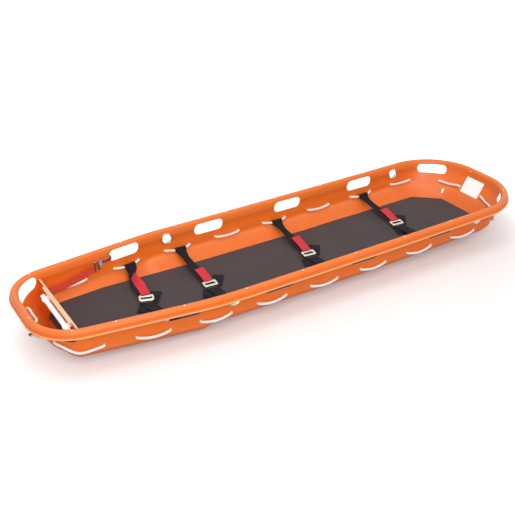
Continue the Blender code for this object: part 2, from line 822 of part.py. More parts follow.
def make_rope(parts, materials):
    """Woven rope, its knot inside the near foot corner, and the tail with a dark tip."""
    tube("perimeter_rope", rope_route(), ROPE_RADIUS, 1, False, parts, materials["rope"])
    knot = bmesh.new()
    bmesh.ops.create_icosphere(knot, subdivisions=2, radius=1.0)
    bmesh.ops.scale(knot, vec=(KNOT_HALF_LENGTH, KNOT_RADIUS, KNOT_RADIUS), verts=knot.verts)
    point, inward = wall_at(KNOT_AT, rope_level(KNOT_AT))
    seat = point + inward * (KNOT_RADIUS + 2 * CLEARANCE)
    bmesh.ops.transform(knot, matrix=facing(seat, inward), verts=knot.verts)
    set_smooth(add_object("rope_knot", knot, parts, materials["rope"]), 60)
    scale = around_per_metre(KNOT_AT)
    points = [rope_point(KNOT_AT + shift * scale, -out - CLEARANCE, -rise)
              for shift, out, rise in TAIL_ROUTE]
    tube("rope_tail", points, TAIL_RADIUS, 2, False, parts, materials["rope"])
    ahead = (points[-1] - points[-2]).normalized()
    start = points[-1] + ahead * CLEARANCE
    ends = [start, start + ahead * TAIL_TIP_LENGTH]
    tube("rope_tail_tip", ends, TAIL_TIP_RADIUS, 2, False, parts, materials["webbing"])


def strip(name, centres, across, widths, thickness, parts, material):
    """Webbing: an open strip along centres, with its widths along the given directions."""
    shape = bmesh.new()
    rows = []
    for centre, direction, width in zip(centres, across, widths):
        half = direction * (width / 2)
        rows.append((shape.verts.new(centre - half), shape.verts.new(centre + half)))
    for (a, b), (c, d) in zip(rows, rows[1:]):
        shape.faces.new((a, b, d, c))
    made = add_object(name, shape, parts, material)
    add_solidify(made, thickness, 0.0)
    set_smooth(made, 50)
    return made


def section_height(x, z):
    """Section height of a world height at x."""
    span = RIM_HEIGHT - FLOOR_Z
    slope = (rim_rise(x) - floor_rise(x)) / span
    return (z - floor_rise(x) + slope * FLOOR_Z) / (1.0 + slope)


def inner_half_width(x, height):
    """Half width inside the wall at x and a section height."""
    low = 0.0
    high = HALF_LENGTH
    for _ in range(30):
        middle = (low + high) / 2
        if wall_at(middle, height)[0].x < x:
            low = middle
        else:
            high = middle
    return -wall_at(middle, height)[0].y


def mat_top(x):
    """World height of the mat's top near its edge."""
    return risen(x, FLOOR_Z) + 3 * CLEARANCE + MAT_THICKNESS


def mat_limit(x):
    """Half width of the mat at x: straight sides, drawn in at the head, with cut corners."""
    foot = MAT_FOOT_END_Y + max(x - MAT_FOOT_X, 0.0)
    head = MAT_HEAD_END_Y + max(MAT_HEAD_X - x, 0.0)
    share = (x - MAT_NARROWS_FROM_X) / (MAT_HEAD_X - MAT_CHAMFER_X - MAT_NARROWS_FROM_X)
    sides = MAT_HALF_WIDTH - MAT_HEAD_NARROWING * min(max(share, 0.0), 1.0)
    return min(foot, head, sides)


def mat_section(x):
    """Section of the mat at x: flat below, sides that follow the wall, crowned on top."""
    below = risen(x, FLOOR_Z) + 3 * CLEARANCE
    limit = mat_limit(x)
    right = []
    for share in MAT_SIDE_SHARES:
        z = below + MAT_THICKNESS * share
        wall = inner_half_width(x, section_height(x, z)) - MAT_GAP
        right.append((min(wall, limit - MAT_BULGE * abs(2 * share - 1.0)), z))
    edge = right[-1][0]
    right.append((edge - MAT_EDGE, below + MAT_THICKNESS))
    right.append((edge / 2, below + MAT_THICKNESS + MAT_CROWN * 0.75))
    left = [(-y, z) for y, z in reversed(right)]
    left.insert(0, (0.0, below + MAT_THICKNESS + MAT_CROWN))
    return [Vector((x, y, z)) for y, z in right + left]


def make_mat(parts, material):
    """Foam mat lofted along the floor."""
    inner = [plan_point(distance)[0].x for distance in STATIONS]
    foot_cut = MAT_FOOT_X + MAT_CHAMFER_X
    head_cut = MAT_HEAD_X - MAT_CHAMFER_X
    apart = 4 * MAT_EDGE
    places = [MAT_FOOT_X, MAT_FOOT_X + MAT_CHAMFER_X / 2, foot_cut]
    places += [x for x in inner if foot_cut + apart < x < head_cut - apart]
    places += [head_cut, MAT_HEAD_X - MAT_CHAMFER_X / 2, MAT_HEAD_X]
    shape = bmesh.new()
    rings = [[shape.verts.new(corner) for corner in mat_section(x)] for x in places]
    count = len(rings[0])
    for ring, following in zip(rings, rings[1:]):
        for here in range(count):
            after = (here + 1) % count
            shape.faces.new((ring[here], ring[after], following[after], following[here]))
    shape.faces.new(rings[0])
    shape.faces.new(rings[-1])
    bmesh.ops.recalc_face_normals(shape, faces=shape.faces)
    set_smooth(add_object("mattress", shape, parts, material), 40)


def turned(name, profile, steps, matrix, parts, material):
    """Turned piece: a profile of radius and height, open on the axis or closed round a bore."""
    mesh = bpy.data.meshes.new(name)
    count = len(profile)
    sides = [(here, (here + 1) % count) for here in range(count)]
    if profile[0][0] == 0.0:
        sides.pop()
    mesh.from_pydata([(radius, 0.0, height) for radius, height in profile], sides, [])
    mesh.materials.append(material)
    made = bpy.data.objects.new(name, mesh)
    parts.objects.link(made)
    screw = made.modifiers.new("Turn", "SCREW")
    screw.axis = "Z"
    screw.steps = steps
    screw.render_steps = steps
    screw.use_merge_vertices = True
    screw.merge_threshold = MERGE
    screw.use_smooth_shade = True
    made.matrix_world = matrix
    return made


def make_eyelets(parts, material):
    """Lifting eyelets riveted through the wall."""
    grip = EYELET_INNER_INSET - EYELET_OUTER_INSET
    lip = EYELET_FLANGE_THICKNESS
    profile = ((EYELET_BORE, grip + lip), (EYELET_FLANGE, grip + lip), (EYELET_FLANGE, grip),
               (EYELET_BARREL, grip), (EYELET_BARREL, 0.0), (EYELET_FLANGE, 0.0),
               (EYELET_FLANGE, -lip), (EYELET_BORE, -lip))
    for side, side_name in ((-1, "left"), (1, "right")):
        for x, place in zip(EYELET_X, ("foot", "head")):
            distance = distance_at_x(x)
            point = section_point(distance, EYELET_INNER_INSET, EYELET_Z)
            normal = plan_point(distance)[1]
            point.y *= side
            outward = Vector((normal.x, normal.y * side, 0.0))
            turned(f"eyelet_{place}_{side_name}", profile, 16, facing(point, outward), parts, material)


def flat_plate(name, outline, thickness, matrix, parts, material):
    """Plate cut to a flat outline, as a mesh with its caps joined."""
    curve = bpy.data.curves.new(name, "CURVE")
    curve.dimensions = "2D"
    curve.fill_mode = "BOTH"
    curve.extrude = thickness / 2
    spline = curve.splines.new("POLY")
    spline.points.add(len(outline) - 1)
    for target, (x, y) in zip(spline.points, outline):
        target.co = (x, y, 0.0, 1.0)
    spline.use_cyclic_u = True
    drawn = bpy.data.objects.new(name + "_outline", curve)
    parts.objects.link(drawn)
    bpy.context.view_layer.update()
    evaluated = drawn.evaluated_get(bpy.context.evaluated_depsgraph_get())
    mesh = bpy.data.meshes.new_from_object(evaluated)
    bpy.data.objects.remove(drawn, do_unlink=True)
    shape = bmesh.new()
    shape.from_mesh(mesh)
    bpy.data.meshes.remove(mesh)
    bmesh.ops.remove_doubles(shape, verts=shape.verts, dist=MERGE)
    made = add_object(name, shape, parts, material)
    made.matrix_world = matrix
    return made


def board_frame():
    """Foot board's frame: X across the basket, Y up the board, Z towards the head end."""
    lean = math.radians(BOARD_LEAN)
    across = Vector((0.0, -1.0, 0.0))
    above = Vector((-math.sin(lean), 0.0, math.cos(lean)))
    front = across.cross(above)
    if front.x < 0:
        across = -across
        front = across.cross(above)
    turn = Matrix((across, above, front)).transposed().to_4x4()
    base = Vector((BOARD_FOOT_X, 0.0, mat_top(BOARD_FOOT_X) + MAT_CROWN + 2 * CLEARANCE))
    base += Vector((0.0, 0.0, BOARD_THICKNESS / 2 * math.sin(lean)))
    return Matrix.Translation(base) @ turn


def board_height():
    """Length of the board up its own face."""
    base = board_frame().translation
    return (BOARD_TOP_Z - base.z) / math.cos(math.radians(BOARD_LEAN))


def board_outline():
    """Outline of the board: its sides follow the walls."""
    frame = board_frame()
    top = board_height()
    side = []
    for share in BOARD_SIDE_SHARES:
        point = frame @ Vector((0.0, top * share, 0.0))
        half = inner_half_width(point.x, section_height(point.x, point.z)) - BOARD_SIDE_GAP
        narrow = BOARD_TOP_CORNER if share == 1.0 else 0.0
        side.append((half - narrow, top * share))
    return side + [(-x, y) for x, y in reversed(side)]


def make_foot_board(parts, guides, materials):
    """Board, its lip, grip bar and bolts."""
    frame = board_frame()
    top = board_height()
    board = flat_plate("foot_board", board_outline(), BOARD_THICKNESS, frame, parts,
                       materials["shell"])
    back = -BOARD_THICKNESS / 2
    lip = block((2 * BOARD_LIP_HALF, BOARD_LIP_HEIGHT, BOARD_LIP_THICKNESS + BOARD_THICKNESS / 2),
                BOARD_LIP_CORNER, 2)
    lip_place = Vector((0.0, top - BOARD_LIP_HEIGHT / 2 - 3 * CLEARANCE,
                        back - BOARD_LIP_THICKNESS / 2 + BOARD_THICKNESS / 4))
    lip_tool = add_cutter("foot_board_lip", lip, frame @ Matrix.Translation(lip_place), guides)
    add_boolean(board, "UNION", lip_tool)
    inner = back - BAR_STAND_OFF
    outer = inner - BAR_THICKNESS
    bar_shape = block((2 * BAR_HALF, BAR_HEIGHT, BAR_THICKNESS), BAR_CORNER, 2, 0)
    middle = Vector((0.0, top - BAR_BELOW_TOP, (inner + outer) / 2))
    bmesh.ops.transform(bar_shape, matrix=frame @ Matrix.Translation(middle), verts=bar_shape.verts)
    bar = add_object("foot_board_bar", bar_shape, parts, materials["rope"])
    for side, side_name in ((-1, "left"), (1, "right")):
        at = Vector((side * BOLT_Y, top - BAR_BELOW_TOP, 0.0))
        depth = BAR_STAND_OFF + BAR_THICKNESS / 2 - CLEARANCE
        foot = block((2 * BAR_FOOT_HALF, BAR_HEIGHT * 0.8, depth), BAR_CORNER, 2)
        foot_place = at + Vector((0.0, 0.0, back - CLEARANCE - depth / 2))
        tool = add_cutter(f"bar_foot_{side_name}", foot, frame @ Matrix.Translation(foot_place),
                          guides)
        add_boolean(bar, "UNION", tool)
        place = frame @ Matrix.Translation(at + Vector((0.0, 0.0, outer)))
        reach = BAR_THICKNESS + BAR_STAND_OFF + BOARD_THICKNESS * 0.75
        hole = round_cut(f"bolt_hole_{side_name}", BOLT_SHANK + 2 * CLEARANCE, 12, 2 * reach,
                         place, guides)
        add_boolean(board, "DIFFERENCE", hole)
        add_boolean(bar, "DIFFERENCE", hole)
        head = -CLEARANCE - BOLT_HEIGHT
        profile = ((0.0, reach - BOLT_END), (BOLT_SHANK, reach - BOLT_END),
                   (BOLT_SHANK, -CLEARANCE), (BOLT_RADIUS, -CLEARANCE),
                   (BOLT_RADIUS, head + BOLT_END), (BOLT_RADIUS - BOLT_END, head), (0.0, head))
        turned(f"foot_board_bolt_{side_name}", profile, 12, place, parts, materials["steel"])


def wall_side_point(x, side, gap, z):
    """Point at x and world height z, this far inside the wall on one side."""
    half = inner_half_width(x, section_height(x, z))
    return Vector((x, side * (half - gap), z))


def make_foot_straps(parts, guides, materials):
    """Red webbing from the board to an adjuster, and a hook through the next hand hole."""
    frame = board_frame()
    board_up = frame.to_3x3() @ Vector((0.0, 1.0, 0.0))
    on_board = frame @ Vector((0.0, board_height() * FOOT_STRAP_SHARE, BOARD_THICKNESS / 2))
    hole_edge = HANDLE_X[0] - HANDLE_WIDTH / 2
    for side, side_name in ((-1, "left"), (1, "right")):
        start = Vector((on_board.x + 2 * CLEARANCE, side * FOOT_STRAP_Y, on_board.z))
        adjuster = wall_side_point(ADJUSTER_X, side, ADJUSTER_WALL_GAP, ADJUSTER_Z)
        ahead = (adjuster - start).normalized()
        stop = adjuster - ahead * (ADJUSTER_LENGTH / 2 + CLEARANCE)
        centres = []
        widths = []
        for share, upright in FOOT_STRAP_ROUTE:
            sag = UP * (FOOT_STRAP_SAG * math.sin(math.pi * share))
            centres.append(start.lerp(stop, share) - sag)
            widths.append(board_up.lerp(UP, upright))
        strip(f"foot_strap_{side_name}", centres, widths, [FOOT_STRAP_WIDTH] * len(centres),
              FOOT_STRAP_THICKNESS, parts, materials["red"])
        across = Vector((ahead.x, ahead.y, 0.0)).normalized()
        plate = frame_plate(f"foot_strap_adjuster_{side_name}",
                            (ADJUSTER_HEIGHT, ADJUSTER_LENGTH, ADJUSTER_THICKNESS),
                            ADJUSTER_SLOT, parts, guides, materials["steel"])
        turn = Matrix((UP, across, UP.cross(across))).transposed().to_4x4()
        plate.matrix_world = Matrix.Translation(adjuster) @ turn
        wall = inner_half_width(hole_edge, section_height(hole_edge, HOOK_Z))
        inside = inner_half_width(hole_edge + HOOK_REACH, section_height(hole_edge, HOOK_Z))
        outside = inside + SHELL_WALL
        hook = [Vector((hole_edge + x, side * y, HOOK_Z)) for x, y in (
            (-0.030, wall - 0.0085), (-0.012, wall - 0.0055), (0.004, inside - 0.0045),
            (0.010, inside - 0.0025), (HOOK_REACH, inside + 0.0015),
            (HOOK_REACH, outside + 0.0015), (0.009, outside + 0.0045), (-0.004, outside + 0.0045))]
        strip(f"foot_strap_hook_{side_name}", hook, [UP] * len(hook), [HOOK_HEIGHT] * len(hook),
              HOOK_THICKNESS, parts, materials["steel"])
        first = adjuster + across * (ADJUSTER_LENGTH / 2 + CLEARANCE)
        last = hook[0] - (hook[1] - hook[0]).normalized() * CLEARANCE
        ends = [first.lerp(last, share) for share in (0.0, 0.5, 1.0)]
        strip(f"foot_strap_end_{side_name}", ends, [UP] * 3, [STRAP_END_WIDTH] * 3,
              FOOT_STRAP_THICKNESS, parts, materials["red"])


def frame_plate(name, size, slot_size, parts, guides, material):
    """Rectangular metal frame with a slot, lying in its own XY plane."""
    shape = block(size, size[1] * FRAME_CORNER_SHARE, 3)
    plate = add_object(name, shape, parts, material)
    slot = block((*slot_size, size[2] * 4), slot_size[1] * SLOT_CORNER_SHARE, 2)
    cutter = add_cutter(name + "_slot", slot, Matrix.Identity(4), guides)
    cutter.parent = plate
    add_boolean(plate, "DIFFERENCE", cutter)
    return plate


def strap_anchor(run, side):
    """Rope centre, rope direction and inward direction where a strap half hangs."""
    around = around_at(distance_at_x(strap_x(run)), side)
    centre = rope_point(around, ROPE_INSIDE, STRAP_PULL)
    reach = STRAP_WIDTH / 2
    along = (rope_point(around + reach, ROPE_INSIDE, STRAP_PULL)
             - rope_point(around - reach, ROPE_INSIDE, STRAP_PULL)).normalized()
    if along.x < 0:
        along = -along
    inward = along.cross(UP) if side > 0 else UP.cross(along)
    return centre, along, inward.normalized()


def buckle_matrix(number, run):
    """Frame of a buckle: X along the basket, Y towards the right wall, Z up."""
    x = strap_x(run) + BUCKLE_SHIFTS[number]
    centre = Vector((x, BUCKLE_Y[number], mat_top(x) + MAT_CROWN + BUCKLE_LIFT))
    turn = Matrix.Rotation(math.radians(BUCKLE_TURNS[number]), 4, "Z")
    tilt = Matrix.Rotation(math.radians(BUCKLE_TILT), 4, "X")
    return Matrix.Translation(centre) @ turn @ tilt


def webbing_height(x):
    """Height of the middle of webbing that lies on the mat at x."""
    return mat_top(x) + MAT_CROWN + 2 * CLEARANCE + STRAP_THICKNESS / 2


def strap_leave(anchor):
    """Point where a strap half leaves the rope, on its way to the buckle."""
    centre, _, inward = anchor
    reach, drop, _ = STRAP_LEAVE[-1]
    return centre + inward * reach - UP * drop


def strap_half(anchor, target, target_across):
    """Centres, width directions and widths from the loop round the rope to the buckle."""
    centre, along, inward = anchor
    centres = []
    widths = []
    for degrees in range(STRAP_LOOP_FROM, -1, -STRAP_LOOP_STEP):
        angle = math.radians(degrees)
        centres.append(centre + (inward * math.cos(angle) + UP * math.sin(angle)) * STRAP_LOOP)
        widths.append(STRAP_WIDTH)
    for reach, drop, width in STRAP_LEAVE:
        centres.append(centre + inward * reach - UP * drop)
        widths.append(width)
    across = [along] * len(centres)
    leave = strap_leave(anchor)
    for share, width in STRAP_SPAN:
        sag = UP * (STRAP_SAG * math.sin(math.pi * share))
        centres.append(leave.lerp(target, share) - sag)
        widths.append(width)
        across.append(along.lerp(target_across, share).normalized())
    return centres, across, widths


def make_strap(number, run, parts, guides, materials):
    """One body strap: two webbing halves, buckle, tongue, red tab and free end."""
    name = f"strap_{number + 1}"
    place = buckle_matrix(number, run)
    across = place.to_3x3() @ Vector((1.0, 0.0, 0.0))
    far_edge = place @ Vector((0.0, BUCKLE_WIDTH / 2 + 3 * CLEARANCE, 0.0))
    right = strap_anchor(run, 1)
    centres, directions, widths = strap_half(right, far_edge, across)
    half = strip(name + "_right_web", centres, directions, widths, STRAP_THICKNESS, parts,
                 materials["webbing"])
    keep_origin(half, Matrix.Translation(right[0]))
    frame = frame_plate(name + "_buckle", (BUCKLE_LENGTH, BUCKLE_WIDTH, BUCKLE_THICKNESS),
                        (BUCKLE_SLOT_LENGTH, BUCKLE_SLOT_WIDTH), parts, guides,
                        materials["steel"])
    frame.matrix_world = place
    below = -BUCKLE_THICKNESS / 2 - CLEARANCE - TONGUE_THICKNESS / 2
    tongue_y = BUCKLE_WIDTH / 2 - TONGUE_INSET - TONGUE_LENGTH / 2
    tongue = block((TONGUE_WIDTH, TONGUE_LENGTH, TONGUE_THICKNESS), TONGUE_CORNER, 2)
    bmesh.ops.transform(tongue, matrix=place @ Matrix.Translation((0.0, tongue_y, below)),
                        verts=tongue.verts)
    left = strap_anchor(run, -1)
    tongue_object = add_object(name + "_tongue", tongue, parts, materials["steel"])
    keep_origin(tongue_object, Matrix.Translation(left[0]))
    near_edge = place @ Vector((0.0, tongue_y - TONGUE_LENGTH / 2 - 3 * CLEARANCE, below))
    centres, directions, widths = strap_half(left, near_edge, across)
    half = strip(name + "_left_web", centres, directions, widths, STRAP_THICKNESS, parts,
                 materials["webbing"])
    keep_origin(half, Matrix.Translation(left[0]))
    make_tab(number, place, right, far_edge, parts, materials["red"])
    make_free_end(number, place, left[0], parts, materials["webbing"])


def make_tab(number, place, anchor, far_edge, parts, material):
    """Red pull tab that lies on the right half, hinged at the buckle's far bar."""
    turn = Matrix.Rotation(math.radians(TAB_TURNS[number]), 3, "Z")
    ahead = anchor[0] - place.translation
    ahead.z = 0.0
    ahead = turn @ ahead.normalized()
    lift = BUCKLE_THICKNESS / 2 + STRAP_THICKNESS / 2 + 3 * CLEARANCE
    start = place @ Vector((0.0, BUCKLE_WIDTH / 2 - TAB_SEAT, lift))
    leave = strap_leave(anchor)
    reach = TAB_LENGTHS[number] / (leave - far_edge).xy.length
    centres = []
    for share in TAB_SHARES:
        rise = (leave.z - far_edge.z) * reach * share
        rise -= STRAP_SAG * math.sin(math.pi * reach * share)
        rise += TAB_ARCH * (math.sin(math.pi * share) + share)
        centres.append(start + ahead * (TAB_LENGTHS[number] * share) + UP * rise)
    across = place.to_3x3() @ Vector((1.0, 0.0, 0.0))
    count = len(centres)
    tab = strip(f"strap_{number + 1}_release_tab", centres, [across] * count, [TAB_WIDTH] * count,
                STRAP_THICKNESS, parts, material)
    keep_origin(tab, Matrix.Translation(start))


def make_free_end(number, place, anchor, parts, material):
    """Free end of the near webbing, lying on the mat under and beside the buckle."""
    turn = math.radians(FREE_END_TURN)
    ahead = Vector((math.cos(turn), math.sin(turn), 0.0))
    across = Vector((math.sin(turn), -math.cos(turn), 0.0))
    start = place.translation + Vector((*FREE_END_STARTS[number], 0.0))
    centres = []
    for share, bulge in FREE_END_ROUTE:
        point = start + ahead * (FREE_END_LENGTH * share)
        point.z = webbing_height(point.x) + bulge
        centres.append(point)
    count = len(centres)
    free_end = strip(f"strap_{number + 1}_free_end", centres, [across] * count,
                     [FREE_END_WIDTH] * count, STRAP_THICKNESS, parts, material)
    keep_origin(free_end, Matrix.Translation(anchor))


def make_label(parts, material):
    """Bare label plate on the inside of the head wall."""
    top = section_point(HALF_LENGTH, level_at_height(HALF_LENGTH, LABEL_TOP_Z)[0], LABEL_TOP_Z)
    bottom = section_point(HALF_LENGTH, level_at_height(HALF_LENGTH, LABEL_BOTTOM_Z)[0],
                           LABEL_BOTTOM_Z)
    above = (top - bottom).normalized()
    across = Vector((0.0, 1.0, 0.0))
    front = across.cross(above)
    if front.x > 0:
        across = -across
        front = across.cross(above)
    turn = Matrix((across, above, front)).transposed().to_4x4()
    middle = (top + bottom) / 2 + front * (LABEL_THICKNESS / 2 + CLEARANCE)
    shape = block((LABEL_WIDTH, (top - bottom).length, LABEL_THICKNESS), LABEL_CORNER, 2)
    label = add_object("label_plate", shape, parts, material)
    label.matrix_world = Matrix.Translation(middle) @ turn


def main():
    """Build the whole stretcher."""
    clear_scene()
    parts = new_collection("basket_stretcher")
    cutters = new_collection("cutters")
    guides = new_collection("guides")
    materials = {
        "shell": make_material("shell_orange", ORANGE, 0.38),
        "tube": make_material("tube_aluminium", STEEL, 0.35, 1.0),
        "steel": make_material("bright_steel", STEEL, 0.25, 1.0),
        "rope": make_material("rope_white", WHITE, 0.85),
        "mat": make_material("mat_grey", DARK_GREY, 0.9),
        "webbing": make_material("webbing_black", BLACK, 0.8),
        "red": make_material("webbing_red", RED, 0.7),
        "label": make_material("label_white", WHITE, 0.5),
    }
    make_shell(parts, cutters, materials["shell"])
    make_rim_tube(parts, materials["tube"])
    make_rope(parts, materials)
    make_eyelets(parts, materials["steel"])
    make_mat(parts, materials["mat"])
    make_foot_board(parts, guides, materials)
    make_foot_straps(parts, guides, materials)
    for number, run in enumerate(STRAP_RUNS):
        make_strap(number, run, parts, guides, materials)
    make_label(parts, materials["label"])


main()
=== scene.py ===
"""Basket stretcher, dressed: moulded shell, woven rope, mat, straps, buckles and foot board."""
import json
import math

import bmesh
import bpy
import numpy as np
from mathutils import Matrix, Vector

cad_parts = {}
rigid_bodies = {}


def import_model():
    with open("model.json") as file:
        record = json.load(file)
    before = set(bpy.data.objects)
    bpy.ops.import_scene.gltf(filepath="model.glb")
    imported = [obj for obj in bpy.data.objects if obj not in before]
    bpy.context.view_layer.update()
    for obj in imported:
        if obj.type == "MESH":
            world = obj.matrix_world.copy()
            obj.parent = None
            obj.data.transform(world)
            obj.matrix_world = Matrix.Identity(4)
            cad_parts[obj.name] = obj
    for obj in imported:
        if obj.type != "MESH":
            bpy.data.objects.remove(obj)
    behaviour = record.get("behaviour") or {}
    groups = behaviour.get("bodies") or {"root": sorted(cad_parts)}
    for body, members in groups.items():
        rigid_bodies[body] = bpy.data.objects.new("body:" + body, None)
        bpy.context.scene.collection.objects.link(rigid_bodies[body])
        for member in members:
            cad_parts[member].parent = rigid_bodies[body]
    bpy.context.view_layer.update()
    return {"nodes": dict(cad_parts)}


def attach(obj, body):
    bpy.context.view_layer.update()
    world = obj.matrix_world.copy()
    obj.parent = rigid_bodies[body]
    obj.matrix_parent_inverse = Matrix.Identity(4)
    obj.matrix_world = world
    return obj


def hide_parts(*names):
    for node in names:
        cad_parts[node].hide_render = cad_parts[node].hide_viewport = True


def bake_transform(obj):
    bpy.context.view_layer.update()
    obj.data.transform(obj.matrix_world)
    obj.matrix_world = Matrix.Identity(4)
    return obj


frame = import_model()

# Sizes in metres, +X to the head end, +Y to the patient's right side, +Z up
LENGTH = 2.17
WIDTH = 0.62
RIM_HEIGHT = 0.179
SHELL_WALL = 0.005
GAP = 0.0003

# Rolled rim
RIM_HALF = 0.015
FLANGE = 0.004
RIM_POINTS = (
    (-RIM_HALF - FLANGE, 0.0255),
    (-RIM_HALF, 0.0255),
    (-RIM_HALF, 0.013),
    (-0.7 * RIM_HALF, 0.0035),
    (0.0, 0.0),
    (0.7 * RIM_HALF, 0.0035),
    (RIM_HALF, 0.013),
)

# Plan of the crown line
FOOT_HALF_WIDTH = 0.2125
FOOT_CORNER_RADIUS = 0.155
TAPER_END_X = -0.4615
TAPER_RADIUS = 1.4
HEAD_CORNER_RADIUS = 0.235
CROWN_X = LENGTH / 2 - RIM_HALF - FLANGE
CROWN_Y = WIDTH / 2 - RIM_HALF - FLANGE

# Floor, runners and the rise of both ends
FLOOR_Z = 0.013
RUNNER_DEPTH = FLOOR_Z - SHELL_WALL
RUNNER_SHARES = (0.15, 0.19, 0.38, 0.42)
RUNNER_FADE = (0.62, 0.80)
FLAT_HALF = 0.24
FLOOR_RISE_FOOT = 0.020
FLOOR_RISE_HEAD = 0.030
FLOOR_RISE_POWER = 1.3
RIM_RISE_FOOT = 0.005
RIM_RISE_HEAD = 0.016
RIM_RISE_FROM = -0.33
RIM_RISE_POWER = 1.5
SPINE_FOOT_INSET = 0.17
SPINE_HEAD_INSET = 0.22

# Wall section: height, then inset from the crown line at torso, leg, foot end and head end
WALL_LEVELS = (
    (0.146, 0.0170, 0.0170, 0.0170, 0.0170),
    (0.139, 0.0155, 0.0155, 0.0180, 0.0180),
    (0.096, 0.0195, 0.0175, 0.0390, 0.0420),
    (0.074, 0.0220, 0.0205, 0.0500, 0.0560),
    (0.0665, 0.0290, 0.0215, 0.0540, 0.0610),
    (0.058, 0.0355, 0.0240, 0.0590, 0.0680),
    (0.046, 0.0500, 0.0320, 0.0670, 0.0790),
    (0.033, 0.0695, 0.0460, 0.0800, 0.0910),
    (0.021, 0.0890, 0.0660, 0.0950, 0.1060),
    (FLOOR_Z, 0.1080, 0.0880, 0.1100, 0.1220),
)
# Painted highlight at each section point, rim first: lighter on the flange edge, the crown, the rib at
# 0.146 and the ledge near 0.0665, where light catches them.
LEVEL_HIGHLIGHT = (1.0, 0.0, 0.0, 0.03, 0.15, 0.03, 0.0, 0.15, 0.0,
              0.0, 0.05, 0.15, 0.05, 0.0, 0.0, 0.0, 0.0)
HIGHLIGHT_ATTRIBUTE = "painted_highlight"
LEDGE_FROM_X = -0.500
LEDGE_TO_X = -0.450

# Hand holes, eyelets and drain slots
GRID = 0.195
GRID_MIDDLE = 0.005
HANDLE_X = tuple(GRID_MIDDLE + GRID * step for step in (-3, -1, 1, 3))
HANDLE_WIDTH = 0.135
HANDLE_HEIGHT = 0.048
HEAD_HANDLE_HEIGHT = 0.043
HANDLE_CORNER = 0.022
HANDLE_Z = 0.140
CORNER_HANDLE_SHIFT = 0.013
CUT_BEYOND = 0.0135
CORNER_CUT_BEYOND = 0.01175
HANDLE_CUT = 0.075
EYELET_CUT = 0.06
SMALL_CUT = 0.03
EYELET_X = tuple(GRID_MIDDLE + GRID * step for step in (-2, 4))
EYELET_Z = 0.139
EYELET_BORE = 0.0195
EYELET_BARREL = 0.0215
EYELET_FLANGE = 0.025
EYELET_LIP = 0.0018
EYELET_INNER_INSET = 0.0188
EYELET_OUTER_INSET = 0.0098
DRAIN_SLOT = (0.010, 0.026)
DRAIN_SLOT_CORNER = 0.0045
DRAIN_SLOT_Z = 0.052
DRAIN_SLOT_ANGLE = 62.0

# Rope
ROPE_RADIUS = 0.005
ROPE_Z = 0.088
ROPE_LEG_DROP = 0.008
ROPE_LEG_FROM_X = -0.36
ROPE_LEG_TO_X = -0.76
ROPE_FOOT_LIFT = 0.018
ROPE_PITCH = 0.2345
ROPE_FIRST_X = -0.8665
ROPE_INSIDE_RUN = 0.112
ROPE_PAIRS = 8
ROPE_HOLE_RADIUS = 0.0060
ROPE_BEND = 0.008
ROPE_SAG_INSIDE = 0.005
ROPE_SAG_OUTSIDE = 0.008
ROPE_SLACK = 0.003
ROPE_STEP = 0.045
ROPE_CORNER_STEP = 0.013
ROPE_CORNER_TURN = 0.3
ROPE_INSIDE = 0.0035 + ROPE_RADIUS
ROPE_OUTSIDE = -SHELL_WALL - 0.0014 - ROPE_RADIUS
HEAD_ROPE_ANGLE = 38.0
HEAD_ROPE_Y = 0.070
FOOT_ROPE_Y = (-0.009, 0.104)
KNOT_ROPE_Y = (0.078, 0.168)
KNOT_TURNS = 3.0
KNOT_TURN_RADIUS = 0.0066
KNOT_LENGTH = 0.019
KNOT_CORD_RADIUS = 0.0042
KNOT_SEAT = 0.0116
KNOT_END = 0.0164
TAIL_RADIUS = 0.0042
TAIL_TIP_RADIUS = 0.0052
TAIL_TIP_LENGTH = 0.014
TAIL_ROUTE = (
    (0.0, 0.0, 0.0),
    (0.0, 0.010, 0.0),
    (-0.008, 0.017, 0.003),
    (-0.022, 0.023, 0.008),
    (-0.040, 0.031, 0.008),
)

# Rivets along the crown
RIVET_FIRST_X = -0.823
RIVET_PITCH = 0.2414
RIVET_COUNT = 7
RIVET_FOOT_X = -0.969
RIVET_END_SPOTS = ((-1.066, -0.071), (1.018, -0.194), (1.036, 0.028))
RIVET_RADIUS = 0.0034
RIVET_RISE = 0.0012
RIVET_SEAT = -0.0012
RIVET_SINK = 0.0003

# Mat
MAT_THICKNESS = 0.019
MAT_GAP = 0.0012
MAT_FOOT_X = -0.945
MAT_HEAD_X = 0.940
MAT_CHAMFER_X = 0.100
MAT_FOOT_END_Y = 0.125
MAT_HEAD_END_Y = 0.098
MAT_HALF_WIDTH = 0.214
MAT_HEAD_NARROWING = 0.018
MAT_NARROWS_FROM_X = 0.40
MAT_CROWN = 0.0012
MAT_EDGE = 0.004
MAT_ROW = 0.0125
MAT_END_ROWS = (0.0012, 0.004)
MAT_END_TUCKS = (0.0022, 0.0008)

# Body straps
STRAP_RUNS = (1, 2, 4, 6)
STRAP_SHIFT = 0.008
STRAP_PULL = 0.0065
STRAP_MARGIN = 0.001
BUCKLE_SHIFTS = (-0.028, -0.003, -0.008, -0.004)
BUCKLE_TURNS = (-19.0, -4.0, -5.0, -5.0)
BUCKLE_Y = (0.026, 0.0, 0.0, 0.010)
STRAP_WIDTH = 0.050
WEBBING = 0.0018
STRAP_LOOP = 0.0077
STRAP_LOOP_ANGLES = (300, -1, -20)
STRAP_LEAVE_IN = 0.004
STRAP_LEAVE_DROP = 0.006
STRAP_BOWS = (-0.014, -0.002, 0.0, 0.0)
STRAP_SPAN = (
    (0.00, 0.046),
    (0.08, 0.036),
    (0.17, 0.030),
    (0.30, 0.032),
    (0.50, 0.038),
    (0.72, 0.043),
    (1.00, 0.046),
)
STRAP_SPAN_SAG = 0.007
BUCKLE_LENGTH = 0.058
BUCKLE_WIDTH = 0.037
BUCKLE_THICKNESS = 0.004
BUCKLE_SLOT = (0.042, 0.012)
